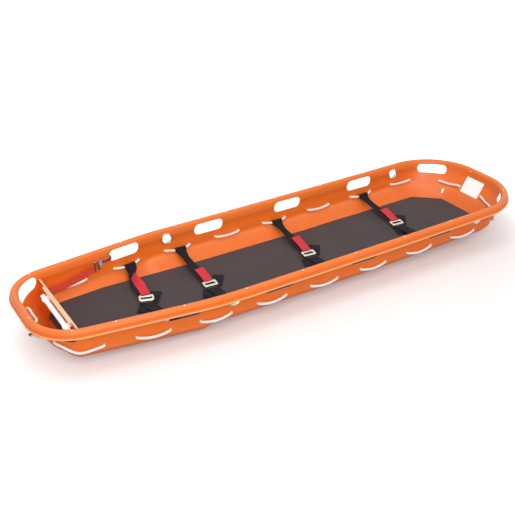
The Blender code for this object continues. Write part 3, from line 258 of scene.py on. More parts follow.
BUCKLE_CORNER_SHARE = 0.2
BUCKLE_SLOT_CORNER_SHARE = 0.4
BUCKLE_LIFT = 0.016
BUCKLE_TILT = 6.0
TONGUE_LENGTH = 0.044
TONGUE_WIDTH = 0.046
TONGUE_THICKNESS = 0.0025
TONGUE_INSET = 0.002
TONGUE_CORNER = 0.005
TAB_LENGTHS = (0.126, 0.094, 0.114, 0.104)
TAB_TURNS = (1.0, -4.0, -7.0, -10.0)
TAB_TWISTS = (62.0, 6.0, 6.0, 6.0)
TAB_WIDTH = 0.036
TAB_SEAT = 0.002
TAB_ARCH = 0.002
TAB_TWIST_FROM = 0.25
TAB_TWIST_LIFT = 0.25
TAB_TWIST_SHIFT = 0.6
FREE_END_LENGTH = 0.085
FREE_END_WIDTH = 0.045
FREE_END_TURN = 55.0
FREE_END_STARTS = ((0.012, -0.026), (0.022, -0.008), (0.024, -0.006), (0.022, -0.006))
FOLD_STARTS = ((-0.018, -0.020), (-0.022, -0.018), (-0.026, -0.014), (-0.014, -0.018))
FOLD_TURNS = (-124.0, -118.0, -110.0, -108.0)
FOLD_LENGTH = 0.062
FOLD_WIDTH = 0.034
FREE_END_ROUTE = ((0.0, 0.001), (0.25, 0.003), (0.5, 0.006), (0.75, 0.005), (1.0, 0.002))

# Foot board
BOARD_FOOT_X = -0.913
BOARD_LEAN = 14.0
BOARD_THICKNESS = 0.006
BOARD_TOP_Z = 0.162
BOARD_SIDE_GAP = 0.005
BOARD_TOP_CORNER = 0.008
BOARD_LIP_HALF = 0.140
BOARD_LIP_THICKNESS = 0.009
BOARD_LIP_HEIGHT = 0.012
BOARD_EDGE = 0.0012
LIP_COVER = 0.0006
LIP_CORNER = 0.004
LIP_EDGE = 0.0022
EDGE_CAP_HEIGHT = 0.005
EDGE_CAP_CORNER = 0.002
EDGE_CAP_EDGE = 0.0014
BAR_HALF = 0.130
BAR_HEIGHT = 0.017
BAR_THICKNESS = 0.018
BAR_STAND_OFF = 0.010
BAR_FOOT_HALF = 0.010
BAR_FOOT_CORNER = 0.005
BAR_FOOT_SINK = 0.003
BAR_BELOW_TOP = 0.030
BOLT_RADIUS = 0.006
BOLT_HEIGHT = 0.003
BOLT_Y = 0.105
FOOT_STRAP_WIDTH = 0.034
FOOT_STRAP_Y = 0.178
FOOT_STRAP_SHARE = 0.50
FOOT_STRAP_SAG = 0.006
FOOT_STRAP_ROUTE = ((0.0, 0.0), (0.2, 0.5), (0.4, 0.9), (0.6, 1.0), (0.8, 1.0), (1.0, 1.0))
ADJUSTER_X = -0.705
ADJUSTER_Z = 0.127
ADJUSTER_WALL_GAP = 0.011
ADJUSTER_LENGTH = 0.024
ADJUSTER_HEIGHT = 0.044
ADJUSTER_THICKNESS = 0.003
ADJUSTER_CORNER = 0.004
ADJUSTER_SLOT = (0.036, 0.008)
ADJUSTER_SLOT_CORNER = 0.0028
HOOK_Z = 0.136
HOOK_HEIGHT = 0.015
HOOK_THICKNESS = 0.002
HOOK_REACH = 0.013
HOOK_ALONG_WALL = ((-0.030, -0.0085), (-0.012, -0.0055))
HOOK_INTO_HOLE = ((0.004, -0.0045), (0.010, -0.0025), (HOOK_REACH, 0.0015))
HOOK_BEHIND_WALL = ((HOOK_REACH, 0.0015), (0.009, 0.0045), (-0.004, 0.0045))
STRAP_END_WIDTH = 0.026

# Camera, fitted to the photograph's frame of 515 pixels
IMAGE_PIXELS = 515.0
FOCAL_PIXELS = 853.76
CAMERA_PLACE = (-1.64835, -2.55036, 1.75077)
CAMERA_YAW = 30.93476
CAMERA_PITCH = 29.01014
CAMERA_ROLL = -0.68145
SENSOR = 36.0

# Light
FLOOR_BOUNCE = (0.45, 0.42, 0.41)
FLOOR_REACH = 14.0
FLOOR_DROP = 0.0004
GLOW_SCALE = (0.8, 1.6, 0.0)
GLOW_SHIFT = (0.0, 0.45, 0.0)
GLOW_FROM = 0.6
GLOW_TO = 1.9
GLOW_LEAST = 0.14
ROOM_LIGHT = 0.56
LAMPS = (
    ("key_lamp", (-0.5, -0.3, 3.4), (0.0, 0.0, 0.0), 1.6, 22.0),
    ("front_lamp", (-1.5, -3.1, 2.3), (0.0, 0.0, 0.1), 2.6, 88.0),
)

SIDES = ((-1, "left"), (1, "right"))
UP = np.array((0.0, 0.0, 1.0))
MERGE = 0.00005


# Plan, section and wall of the shell


def smooth_step(value):
    """Ease from 0 to 1."""
    value = np.clip(value, 0.0, 1.0)
    return value * value * (3.0 - 2.0 * value)


def unit(vectors):
    """Vectors along the last axis, at length 1."""
    return vectors / np.linalg.norm(vectors, axis=-1, keepdims=True)


def plan_pieces():
    """Lines and arcs of half the crown line, from the foot centre to the head centre."""
    corners = (
        ((-CROWN_X, 0.0), 0.0),
        ((-CROWN_X, FOOT_HALF_WIDTH), FOOT_CORNER_RADIUS),
        ((TAPER_END_X, CROWN_Y), TAPER_RADIUS),
        ((CROWN_X, CROWN_Y), HEAD_CORNER_RADIUS),
        ((CROWN_X, 0.0), 0.0),
    )
    spots = [np.array(spot) for spot, _ in corners]
    pieces = []
    start = spots[0]
    for here in range(1, len(corners)):
        corner = spots[here]
        radius = corners[here][1]
        ahead = unit(corner - spots[here - 1])
        if radius == 0.0:
            pieces.append(("line", start, ahead, float(np.linalg.norm(corner - start))))
            break
        beyond = unit(spots[here + 1] - corner)
        turn = math.acos(float(np.clip(ahead @ beyond, -1.0, 1.0)))
        tangent = radius * math.tan(turn / 2)
        touch = corner - ahead * tangent
        pieces.append(("line", start, ahead, float(np.linalg.norm(touch - start))))
        centre = touch + np.array((ahead[1], -ahead[0])) * radius
        pieces.append(("arc", centre, (radius, math.atan2(ahead[1], ahead[0])), radius * turn))
        start = corner + beyond * tangent
    return pieces


PLAN = plan_pieces()
HALF_LENGTH = sum(piece[3] for piece in PLAN)


def plan(distance):
    """Crown line at distances from the foot centre: points and outward normals, y >= 0."""
    distance = np.clip(np.asarray(distance, float), 0.0, HALF_LENGTH)
    point = np.zeros(distance.shape + (2,))
    normal = np.zeros(distance.shape + (2,))
    begun = 0.0
    for kind, anchor, data, length in PLAN:
        local = distance - begun
        if kind == "line":
            spot = anchor + data * local[..., None]
            out = np.broadcast_to(np.array((-data[1], data[0])), spot.shape)
        else:
            now = data[1] - local / data[0]
            out = np.stack((-np.sin(now), np.cos(now)), -1)
            spot = anchor + out * data[0]
        here = (distance >= begun)[..., None]
        point = np.where(here, spot, point)
        normal = np.where(here, out, normal)
        begun += length
    return point, normal


TABLE = np.linspace(0.0, HALF_LENGTH, 6001)
TABLE_X = plan(TABLE)[0][:, 0]
TABLE_Y = plan(TABLE)[0][:, 1]
TABLE_MIDDLE = len(TABLE) // 2


def distance_at_x(x):
    """Distance along the half plan where the crown line passes x."""
    return float(np.interp(x, TABLE_X, TABLE))


def distance_at_y(y, head):
    """Distance along the half plan where an end of the crown line passes y."""
    if head:
        return float(np.interp(y, TABLE_Y[:TABLE_MIDDLE:-1], TABLE[:TABLE_MIDDLE:-1]))
    return float(np.interp(y, TABLE_Y[:TABLE_MIDDLE], TABLE[:TABLE_MIDDLE]))


def floor_rise(x):
    """Rise of the floor towards both ends."""
    reach = np.maximum(np.abs(x) - FLAT_HALF, 0.0) / (LENGTH / 2 - FLAT_HALF)
    return np.where(x > 0, FLOOR_RISE_HEAD, FLOOR_RISE_FOOT) * reach ** FLOOR_RISE_POWER


def rim_rise(x):
    """Rise of the rim towards both ends."""
    foot = np.maximum(RIM_RISE_FROM - x, 0.0) / (LENGTH / 2 + RIM_RISE_FROM)
    head = np.maximum(x - RIM_RISE_FROM, 0.0) / (LENGTH / 2 - RIM_RISE_FROM)
    return RIM_RISE_FOOT * foot ** 2 + RIM_RISE_HEAD * head ** RIM_RISE_POWER


def risen(x, height):
    """World height of a section height at x."""
    share = np.clip((height - FLOOR_Z) / (RIM_HEIGHT - FLOOR_Z), 0.0, 1.0)
    return height + floor_rise(x) * (1.0 - share) + rim_rise(x) * share


def zone_shares(point, normal):
    """Shares of the torso, leg, foot end and head end sections, along the last axis."""
    foot = smooth_step((-normal[..., 0] - 0.2) / 0.65)
    head = smooth_step((normal[..., 0] - 0.03) / 0.72)
    ledge = smooth_step((point[..., 0] - LEDGE_FROM_X) / (LEDGE_TO_X - LEDGE_FROM_X))
    sides = 1.0 - foot - head
    return np.stack((sides * ledge, sides * (1.0 - ledge), foot, head), -1)


def section(distance):
    """Insets and heights of the section's corner points: one row for each distance."""
    point, normal = plan(distance)
    levels = np.array(WALL_LEVELS)
    rim = np.array(RIM_POINTS)
    wall = zone_shares(point, normal) @ levels[:, 1:].T
    insets = np.concatenate((np.broadcast_to(rim[:, 0], (len(wall), len(rim))), wall), 1)
    heights = np.concatenate((RIM_HEIGHT - rim[:, 1], levels[:, 0]))
    return insets, np.broadcast_to(heights, insets.shape)


def half_plan(around):
    """Half-plan distance and side of places round the whole rim."""
    around = np.atleast_1d(np.asarray(around, float)) % (2 * HALF_LENGTH)
    near = around <= HALF_LENGTH
    return np.where(near, around, 2 * HALF_LENGTH - around), np.where(near, -1.0, 1.0)


def wall(around, height):
    """Inner wall points and inward normals, at places round the rim and section heights."""
    distance, side = half_plan(around)
    point, normal = plan(distance)
    insets, heights = (values[:, len(RIM_POINTS) - 1:] for values in section(distance))
    height = np.broadcast_to(height, distance.shape)
    lower = np.clip(np.sum(heights > height[:, None], 1), 1, heights.shape[1] - 1)[:, None]
    top, low = (np.take_along_axis(heights, lower - step, 1)[:, 0] for step in (1, 0))
    top_inset, low_inset = (np.take_along_axis(insets, lower - step, 1)[:, 0] for step in (1, 0))
    inset = top_inset + (low_inset - top_inset) * (top - height) / (top - low)
    slope = np.arctan2(low_inset - top_inset, top - low)
    flat = point - normal * inset[:, None]
    spot = np.stack((flat[:, 0], side * flat[:, 1], risen(flat[:, 0], height)), 1)
    inward = np.stack((-normal[:, 0] * np.cos(slope), -side * normal[:, 1] * np.cos(slope),
                       np.sin(slope)), 1)
    return spot, inward


def wall_spot(around, height):
    """One inner wall point and its inward normal."""
    return tuple(values[0] for values in wall(around, height))


def around_at(distance, side):
    """Way round the rim of a half-plan distance on one side."""
    return distance if side < 0 else 2 * HALF_LENGTH - distance


def section_height(x, z):
    """Section height of a world height at x."""
    slope = (rim_rise(x) - floor_rise(x)) / (RIM_HEIGHT - FLOOR_Z)
    return (z - floor_rise(x) + slope * FLOOR_Z) / (1.0 + slope)


def inner_half_width(x, height):
    """Half width inside the wall at one x and section height."""
    spots = wall(TABLE[::4], height)[0]
    return float(np.interp(x, spots[:, 0], -spots[:, 1]))


def through(points, steps):
    """Curve through points along axis 1: cubic pieces with tangents weighted by the gaps."""
    gaps = np.linalg.norm(np.diff(points, axis=1), axis=2)[..., None] + 1e-9
    slopes = np.diff(points, axis=1) / gaps
    before, after = gaps[:, :-1], gaps[:, 1:]
    inner = (slopes[:, :-1] * after + slopes[:, 1:] * before) / (before + after)
    tangents = np.concatenate((slopes[:, :1], inner, slopes[:, -1:]), 1)
    share = (np.arange(steps) / steps)[None, None, :, None]
    a, b = points[:, :-1, None], points[:, 1:, None]
    leave = (tangents[:, :-1] * gaps)[:, :, None]
    arrive = (tangents[:, 1:] * gaps)[:, :, None]
    curve = ((2 * share ** 3 - 3 * share ** 2 + 1) * a + (share ** 3 - 2 * share ** 2 + share) * leave
             + (3 * share ** 2 - 2 * share ** 3) * b + (share ** 3 - share ** 2) * arrive)
    curve = curve.reshape(points.shape[0], -1, points.shape[2])
    return np.concatenate((curve, points[:, -1:]), 1)


# Mesh makers


def grid_mesh(points, wrap_rows=False, wrap_cols=False, u=None, v=None, caps=False):
    """Mesh of a grid of points, with a map of u along the rows' axis and v along the columns'."""
    rows, cols = points.shape[:2]
    r, c = np.meshgrid(np.arange(rows if wrap_rows else rows - 1),
                       np.arange(cols if wrap_cols else cols - 1), indexing="ij")
    r, c = r.ravel(), c.ravel()
    after_r, after_c = (r + 1) % rows, (c + 1) % cols
    quads = np.stack((r * cols + c, r * cols + after_c, after_r * cols + after_c,
                      after_r * cols + c), 1)
    faces = quads.tolist()
    if caps:
        faces.append(list(range(cols)))
        faces.append(list(range(rows * cols - 1, (rows - 1) * cols - 1, -1)))
    mesh = bpy.data.meshes.new("surface")
    mesh.from_pydata(points.reshape(-1, 3).tolist(), [], faces)
    if u is not None:
        corners = np.stack((u[r], v[c], u[r], v[c + 1], u[r + 1], v[c + 1], u[r + 1], v[c]), 1)
        values = np.zeros(len(mesh.loops) * 2)
        values[:corners.size] = corners.ravel()
        mesh.uv_layers.new(name="UVMap").data.foreach_set("uv", values)
    return mesh


def tidy_mesh(mesh, angle=40.0, merge=0.0):
    """Merge doubles if asked, turn faces outwards and shade smooth up to an angle."""
    shape = bmesh.new()
    shape.from_mesh(mesh)
    if merge:
        bmesh.ops.remove_doubles(shape, verts=shape.verts, dist=merge)
    bmesh.ops.recalc_face_normals(shape, faces=shape.faces)
    shape.to_mesh(mesh)
    shape.free()
    mesh.shade_smooth()
    mesh.set_sharp_from_angle(angle=math.radians(angle))
    return mesh


def placed(name, data):
    """New object in the scene."""
    made = bpy.data.objects.new(name, data)
    bpy.context.scene.collection.objects.link(made)
    return made


def add_piece(name, mesh, material, body, slot, *nodes):
    """Put a finished mesh into the scene, on its body if it has one, in place of its CAD nodes."""
    made = placed(name, mesh)
    mesh.name = name
    mesh.materials.clear()
    mesh.materials.append(MATERIALS[material])
    if body:
        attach(made, body)
    if nodes:
        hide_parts(*nodes)
    return made


def frames(curve):
    """Tangents, level sides and tops along a curve."""
    tangents = unit(np.gradient(curve, axis=0))
    sides = unit(np.cross(UP, tangents))
    return tangents, sides, np.cross(tangents, sides)


def run_length(curve):
    """Length along a curve up to each of its points."""
    steps = np.linalg.norm(np.diff(curve, axis=0), axis=1)
    return np.concatenate(([0.0], np.cumsum(steps)))


def turns(count, shift=0.0):
    """Angles of even steps round a circle."""
    return (np.arange(count) + shift) / count * 2 * math.pi


def squared(value, power):
    """A sine or cosine raised to a power, with its sign kept."""
    return np.sign(value) * np.abs(value) ** power


def stacked(flat, heights):
    """Flat points with heights as their third coordinate."""
    return np.concatenate((flat, np.broadcast_to(heights, flat.shape[:2] + (1,))), 2)


def tube_mesh(curve, radius, sides=16):
    """Round cord: a circle carried along a curve."""
    _, across, above = frames(curve)
    turn = turns(sides)[None, :, None]
    ring = np.cos(turn) * across[:, None] + np.sin(turn) * above[:, None]
    radius = np.broadcast_to(radius, len(curve))
    points = curve[:, None] + ring * radius[:, None, None]
    return tidy_mesh(grid_mesh(points, wrap_cols=True, u=run_length(curve),
                               v=np.arange(sides + 1) / sides, caps=True), 60)


def soft_outline(count, square=0.22, edge=0.7):
    """Flat outline of unit width and height with rounded edges, from powers of sine and cosine."""
    turn = turns(count, 0.5)
    return np.stack((squared(np.cos(turn), square) / 2, squared(np.sin(turn), edge) / 2), 1)


def band_mesh(centres, across, widths, thickness, steps=4, outline=None):
    """Webbing: a flat rounded outline carried along centres, with its width along across."""
    across = np.broadcast_to(across, centres.shape)
    widths = np.full(len(centres), widths)
    control = np.concatenate((centres, across, widths[:, None]), 1)
    path = through(control[None], steps)[0]
    curve, sides, width = path[:, :3], path[:, 3:6], path[:, 6]
    tangents = unit(np.gradient(curve, axis=0))
    sides = unit(sides - tangents * np.sum(sides * tangents, 1, keepdims=True))
    tops = np.cross(tangents, sides)
    outline = soft_outline(24) if outline is None else outline
    points = (curve[:, None] + sides[:, None] * (outline[:, :1] * width[:, None, None])
              + tops[:, None] * (outline[:, 1:] * thickness))
    v = np.append(outline[:, 0], outline[0, 0]) * float(np.mean(widths))
    return tidy_mesh(grid_mesh(points, wrap_cols=True, u=run_length(curve), v=v, caps=True), 70)


def circle(radius, count=32):
    """Round outline."""
    turn = turns(count)
    return np.stack((np.cos(turn), np.sin(turn)), 1) * radius


def rounded_outline(width, height, radius, steps=8):
    """Rounded rectangle centred on zero."""
    turn = np.linspace(0.0, math.pi / 2, steps)
    arc = np.stack((np.cos(turn), np.sin(turn)), 1) * radius
    corner = np.array((width / 2 - radius, height / 2 - radius))
    first = corner + arc
    flipped = first[::-1]
    return np.concatenate((first, flipped * (-1, 1), first * (-1, -1), flipped * (1, -1)))


def ring_plate(outer, inner, thickness, place, count=14):
    """Plate with a hole: an oval section carried between two outlines of as many points."""
    turn = turns(count)[:, None]
    share = 0.5 - 0.5 * squared(np.cos(turn), 0.6)
    height = squared(np.sin(turn), 0.6) * thickness / 2
    flat = outer[:, None] * (1 - share) + inner[:, None] * share
    mesh = tidy_mesh(grid_mesh(stacked(flat, height), True, True), 60)
    mesh.transform(place)
    return mesh


def solid_plate(outline, thickness, place, edge=0.0008):
    """Plate with softly rounded edges: shrunken outlines stacked through its thickness."""
    shift = np.array((1.0, 0.3, 0.0, 0.0, 0.3, 1.0)) * edge
    height = np.array((0.0, 0.3, 1.0, 1.0, 0.3, 0.0)) * edge
    height = np.where(np.arange(6) < 3, height - thickness / 2, thickness / 2 - height)
    tangent = np.roll(outline, -1, 0) - np.roll(outline, 1, 0)
    inward = unit(np.stack((-tangent[:, 1], tangent[:, 0]), 1))
    flat = outline[None] + inward[None] * shift[:, None, None]
    mesh = tidy_mesh(grid_mesh(stacked(flat, height[:, None, None]), wrap_cols=True, caps=True))
    mesh.transform(place)
    return mesh


def turned_mesh(profile, place, count=64):
    """Turned piece: a profile of radius and height carried round the Z axis."""
    profile = np.array(profile)
    closed = profile[0, 0] > 0.0
    flat = profile[:, :1, None] * circle(1.0, count)
    mesh = tidy_mesh(grid_mesh(stacked(flat, profile[:, 1:, None]), closed, True), 40, MERGE)
    mesh.transform(place)
    return mesh


def placed_axes(point, *axes):
    """Matrix at a point with these three axes."""
    turn = Matrix([Vector(axis) for axis in axes]).transposed().to_4x4()
    return Matrix.Translation(Vector(point)) @ turn


def facing(point, outward):
    """Matrix at a point with +Z along outward and +Y as near up as it can be."""
    outward = Vector(outward)
    across = Vector(UP).cross(outward).normalized()
    return placed_axes(point, across, outward.cross(across), outward)


# Materials


def feed(tree, socket, value):
    """Set a socket, or link it when the value is another socket."""
    if isinstance(value, bpy.types.NodeSocket):
        tree.links.new(value, socket)
    else:
        socket.default_value = value


def add_node(tree, kind, feeds=(), **settings):
    """Add a shader node with its settings and inputs, given by name or number."""
    node = tree.nodes.new("ShaderNode" + kind)
    for key, value in settings.items():
        setattr(node, key, value)
    for key, value in dict(feeds).items():
        feed(tree, node.inputs[key], value)
    return node


def maths(tree, operation, a, b=0.0, c=0.0, clamp=False):
    """Output of one math node."""
    node = add_node(tree, "Math", {0: a, 1: b, 2: c}, operation=operation, use_clamp=clamp)
    return node.outputs[0]


def coordinates(tree, kind):
    """Texture coordinates of one kind."""
    return add_node(tree, "TexCoord").outputs[kind]


def new_group(name, inputs, outputs):
    """Empty shader node group with float sockets."""
    group = bpy.data.node_groups.new(name, "ShaderNodeTree")
    for direction, labels in (("INPUT", inputs), ("OUTPUT", outputs)):
        for label in labels:
            group.interface.new_socket(label, in_out=direction, socket_type="NodeSocketFloat")
    return group, group.nodes.new("NodeGroupInput"), group.nodes.new("NodeGroupOutput")


def moulded_group():
    """Moulded plastic: slow blotches, fine grain, and thin scuffs that run along the basket."""
    group, given, out = new_group("moulded_surface", ["Grain Scale"], ["Blotch", "Grain", "Scuff"])
    place = coordinates(group, "Object")
    blotch = add_node(group, "TexNoise", {"Vector": place, "Scale": 4.5, "Detail": 3.0})
    grain = add_node(group, "TexNoise",
                     {"Vector": place, "Scale": given.outputs[0], "Detail": 2.0})
    streaks = add_node(group, "Mapping", {"Vector": place, "Scale": (3.0, 60.0, 60.0),
                                          "Rotation": (0.0, 0.3, 0.12)})
    scuff = add_node(group, "TexNoise",
                     {"Vector": streaks.outputs[0], "Scale": 2.0, "Detail": 6.0, "Roughness": 0.7})
    above = maths(group, "SUBTRACT", scuff.outputs["Fac"], 0.60, clamp=True)
    rare = maths(group, "MULTIPLY", above, 6.0, clamp=True)
    feed(group, out.inputs["Blotch"], blotch.outputs["Fac"])
    feed(group, out.inputs["Grain"], grain.outputs["Fac"])
    feed(group, out.inputs["Scuff"], rare)
    return group


def weave_group():
    """Webbing: ribs across the band, each crossed by picks that shift from rib to rib."""
    group, given, out = new_group("woven_band", ["Rib", "Pick"], ["Height", "Fuzz"])
    split = add_node(group, "SeparateXYZ", {0: coordinates(group, "UV")})
    rib = maths(group, "DIVIDE", split.outputs["Y"], given.outputs["Rib"])
    pick = maths(group, "DIVIDE", split.outputs["X"], given.outputs["Pick"])
    odd = maths(group, "MULTIPLY", maths(group, "FLOOR", rib), 0.5)
    ridge = maths(group, "ABSOLUTE", maths(group, "SINE", maths(group, "MULTIPLY", rib, math.pi)))
    shifted = maths(group, "MULTIPLY", maths(group, "ADD", pick, odd), 2 * math.pi)
    lift = maths(group, "MULTIPLY_ADD", maths(group, "SINE", shifted), 0.3, 0.7)
    fuzz = add_node(group, "TexNoise", {"Scale": 900.0, "Detail": 2.0})
    feed(group, out.inputs["Height"], maths(group, "MULTIPLY", ridge, lift))
    feed(group, out.inputs["Fuzz"], fuzz.outputs["Fac"])
    return group


def braid_group():
    """Rope: strands that wind both ways round the cord and cross in diamonds."""
    group, given, out = new_group("braided_cord", ["Lay", "Strands"], ["Height"])
    split = add_node(group, "SeparateXYZ", {0: coordinates(group, "UV")})
    along = maths(group, "DIVIDE", split.outputs["X"], given.outputs["Lay"])
    round_it = maths(group, "MULTIPLY", split.outputs["Y"], given.outputs["Strands"])
    waves = []
    for sign in (1.0, -1.0):
        phase = maths(group, "MULTIPLY_ADD", round_it, sign, along)
        waves.append(maths(group, "SINE", maths(group, "MULTIPLY", phase, 2 * math.pi)))
    feed(group, out.inputs["Height"], maths(group, "MAXIMUM", waves[0], waves[1]))
    return group


GROUPS = {"moulded": moulded_group(), "weave": weave_group(), "braid": braid_group()}


def use_group(tree, key, **values):
    """Place one of the shared groups in a material."""
    feeds = {label.replace("_", " "): value for label, value in values.items()}
    return add_node(tree, "Group", feeds, node_tree=GROUPS[key])


def new_material(name, roughness, metallic=0.0, **sockets):
    """Principled material: its tree and shader."""
    material = bpy.data.materials.new(name)
    material.use_nodes = True
    tree = material.node_tree
    shader = tree.nodes["Principled BSDF"]
    shader.inputs["Roughness"].default_value = roughness
    shader.inputs["Metallic"].default_value = metallic
    for label, value in sockets.items():
        shader.inputs[label.replace("_", " ")].default_value = value
    return material, tree, shader


def blend_colours(tree, share, first, second):
    """Colour between two, by a share. Sockets 6, 7 and 2 are the node's two colours and result."""
    node = add_node(tree, "Mix", {"Factor": share}, data_type="RGBA")
    for number, colour in ((6, first), (7, second)):
        plain = not isinstance(colour, bpy.types.NodeSocket)
        feed(tree, node.inputs[number], (*colour, 1.0) if plain else colour)
    return node.outputs[2]


def bump(tree, shader, height, distance, strength=1.0):
    """Bump from a height, in metres."""
    feeds = {"Height": height, "Distance": distance, "Strength": strength}
    node = add_node(tree, "Bump", feeds)
    feed(tree, shader.inputs["Normal"], node.outputs[0])


def moulded_material(name, first, second, pale_scuff_and_highlight, roughness, painted_highlights=False, glow=0.0):
    """Moulded polyethylene: two close tones, pale scuffs, a painted highlight and a painted glow where
    asked, and a fine pebbled skin.
    """
    material, tree, shader = new_material(name, roughness, Emission_Strength=glow)
    skin = use_group(tree, "moulded", Grain_Scale=900.0)
    tone = blend_colours(tree, skin.outputs["Blotch"], first, second)
    scuffed = maths(tree, "MULTIPLY", skin.outputs["Scuff"], 0.22)
    colour = blend_colours(tree, scuffed, tone, pale_scuff_and_highlight)
    # Painted highlight: the shell's attribute lightens the rim's flange edge, crown, rib and ledge towards
    # the pale colour.
    if painted_highlights:
        edge = add_node(tree, "Attribute", attribute_name=HIGHLIGHT_ATTRIBUTE)
        colour = blend_colours(tree, edge.outputs["Fac"], colour, pale_scuff_and_highlight)
    feed(tree, shader.inputs["Base Color"], colour)
    # Painted glow: the surface gives off light in its own tone, so it looks more brightly lit than the
    # lamps make it.
    if glow:
        feed(tree, shader.inputs["Emission Color"], tone)
    rough = maths(tree, "MULTIPLY_ADD", skin.outputs["Blotch"], 0.12, roughness - 0.06)
    feed(tree, shader.inputs["Roughness"], rough)
    bump(tree, shader, skin.outputs["Grain"], 0.00025, 0.35)
    return material


def webbing_material(name, dark, light, sheen=0.0):
    """Woven webbing with raised ribs, painted shade in the grooves between them, and a little fuzz."""
    material, tree, shader = new_material(name, 0.8, Sheen_Weight=sheen, Specular_IOR_Level=0.25)
    weave = use_group(tree, "weave", Rib=0.0016, Pick=0.0022)
    # Painted shade: the colour goes dark where the weave is low, between the ribs.
    feed(tree, shader.inputs["Base Color"], blend_colours(tree, weave.outputs["Height"], dark, light))
    height = maths(tree, "ADD", weave.outputs["Height"],
                   maths(tree, "MULTIPLY", weave.outputs["Fuzz"], 0.25))
    bump(tree, shader, height, 0.0004)
    return material


def rope_material(name, dark, light):
    """Braided polyester cord, with painted shade in the grooves between its strands."""
    material, tree, shader = new_material(name, 0.75, Sheen_Weight=0.15)
    braid = use_group(tree, "braid", Lay=0.0085, Strands=6.0)
    # Painted shade: the colour goes dark where the braid is low, between the strands.
    share = maths(tree, "MULTIPLY_ADD", braid.outputs[0], 0.5, 0.5, True)
    feed(tree, shader.inputs["Base Color"], blend_colours(tree, share, dark, light))
    bump(tree, shader, braid.outputs[0], 0.0003)
    return material


def metal_material(name, colour, roughness):
    """Plated steel with faint brushing and smudges."""
    material, tree, shader = new_material(name, roughness, 1.0)
    skin = use_group(tree, "moulded", Grain_Scale=400.0)
    dull = tuple(value * 0.86 for value in colour)
    feed(tree, shader.inputs["Base Color"], blend_colours(tree, skin.outputs["Blotch"], dull, colour))
    rough = maths(tree, "MULTIPLY_ADD", skin.outputs["Scuff"], 0.25, roughness)
    feed(tree, shader.inputs["Roughness"], rough)
    bump(tree, shader, skin.outputs["Grain"], 0.0001, 0.2)
    return material


def mat_material(name, dark, light):
    """Foam mat in a coated knit: fine cells with slow rubbed patches."""
    material, tree, shader = new_material(name, 0.8, Sheen_Weight=0.1)
    place = coordinates(tree, "Object")
    cells = add_node(tree, "TexVoronoi", {"Vector": place, "Scale": 520.0})
    patches = add_node(tree, "TexNoise", {"Vector": place, "Scale": 7.0, "Detail": 4.0})
    fleck = maths(tree, "MULTIPLY", cells.outputs["Distance"], 0.35)
    patch = maths(tree, "MULTIPLY", patches.outputs["Fac"], 0.65)
    share = maths(tree, "ADD", patch, fleck, clamp=True)
    feed(tree, shader.inputs["Base Color"], blend_colours(tree, share, dark, light))
    bump(tree, shader, cells.outputs["Distance"], 0.0004, 0.6)
    return material


MATERIALS = {
    # The shell's pale colour serves its scuffs and the painted highlight on the rim and ledge.
    "shell": moulded_material("orange_polyethylene", (0.84, 0.150, 0.012), (0.90, 0.190, 0.017),
                              (0.98, 0.50, 0.20), 0.40, painted_highlights=True),
    "board": moulded_material("board_polyethylene", (0.82, 0.13, 0.012), (0.88, 0.16, 0.017),
                              (0.95, 0.42, 0.14), 0.42),
    # Lip and top edge of the foot board: pale cream, a painted highlight for the light on the board's top.
    "lip": moulded_material("lip_painted_highlight", (0.86, 0.56, 0.32), (0.92, 0.64, 0.40), (0.95, 0.8, 0.6), 0.4),
    # The white bar and the label carry a painted glow that brightens them.
    "bar": moulded_material("white_bar", (0.97, 0.97, 0.96), (0.99, 0.99, 0.98), (0.9, 0.89, 0.88), 0.35,
                            glow=0.28),
    "label": moulded_material("white_label", (0.95, 0.94, 0.93), (0.98, 0.97, 0.96),
                              (0.9, 0.88, 0.86), 0.3, glow=0.16),
    "rope": rope_material("white_rope", (0.90, 0.85, 0.79), (1.0, 0.98, 0.95)),
    "webbing": webbing_material("black_webbing", (0.004, 0.004, 0.006), (0.020, 0.019, 0.026)),
    "red": webbing_material("red_webbing", (0.62, 0.022, 0.036), (0.92, 0.050, 0.072), sheen=0.1),
    "foot_strap": webbing_material("orange_webbing", (0.72, 0.055, 0.025), (0.92, 0.12, 0.045),
                                   sheen=0.1),
    "grey_band": webbing_material("grey_webbing", (0.42, 0.40, 0.38), (0.62, 0.60, 0.57)),
    "steel": metal_material("plated_steel", (0.82, 0.79, 0.68), 0.24),
    "tube": metal_material("drawn_aluminium", (0.70, 0.70, 0.70), 0.38),
    "mat": mat_material("dark_mat", (0.034, 0.024, 0.026), (0.070, 0.053, 0.056)),
    "dark_plate": moulded_material("blackened_plate", (0.012, 0.012, 0.014), (0.02, 0.02, 0.023),
                                   (0.08, 0.08, 0.08), 0.5),
    "tip": moulded_material("dark_tip", (0.02, 0.018, 0.015), (0.04, 0.036, 0.03), (0.2, 0.18, 0.16), 0.5),
}


# Shell


def shell_distances(step=0.0115):
    """Distances of the sections: even steps in each line, half as far apart in the end arcs."""
    values = [np.array([0.0])]
    begun = 0.0
    for kind, _, data, length in PLAN:
        fine = kind == "arc" and data[0] < 1.0
        count = max(2, round(length / (step * (0.55 if fine else 1.0))))
        values.append(begun + length * np.arange(1, count + 1) / count)
        begun += length
    return np.concatenate(values)


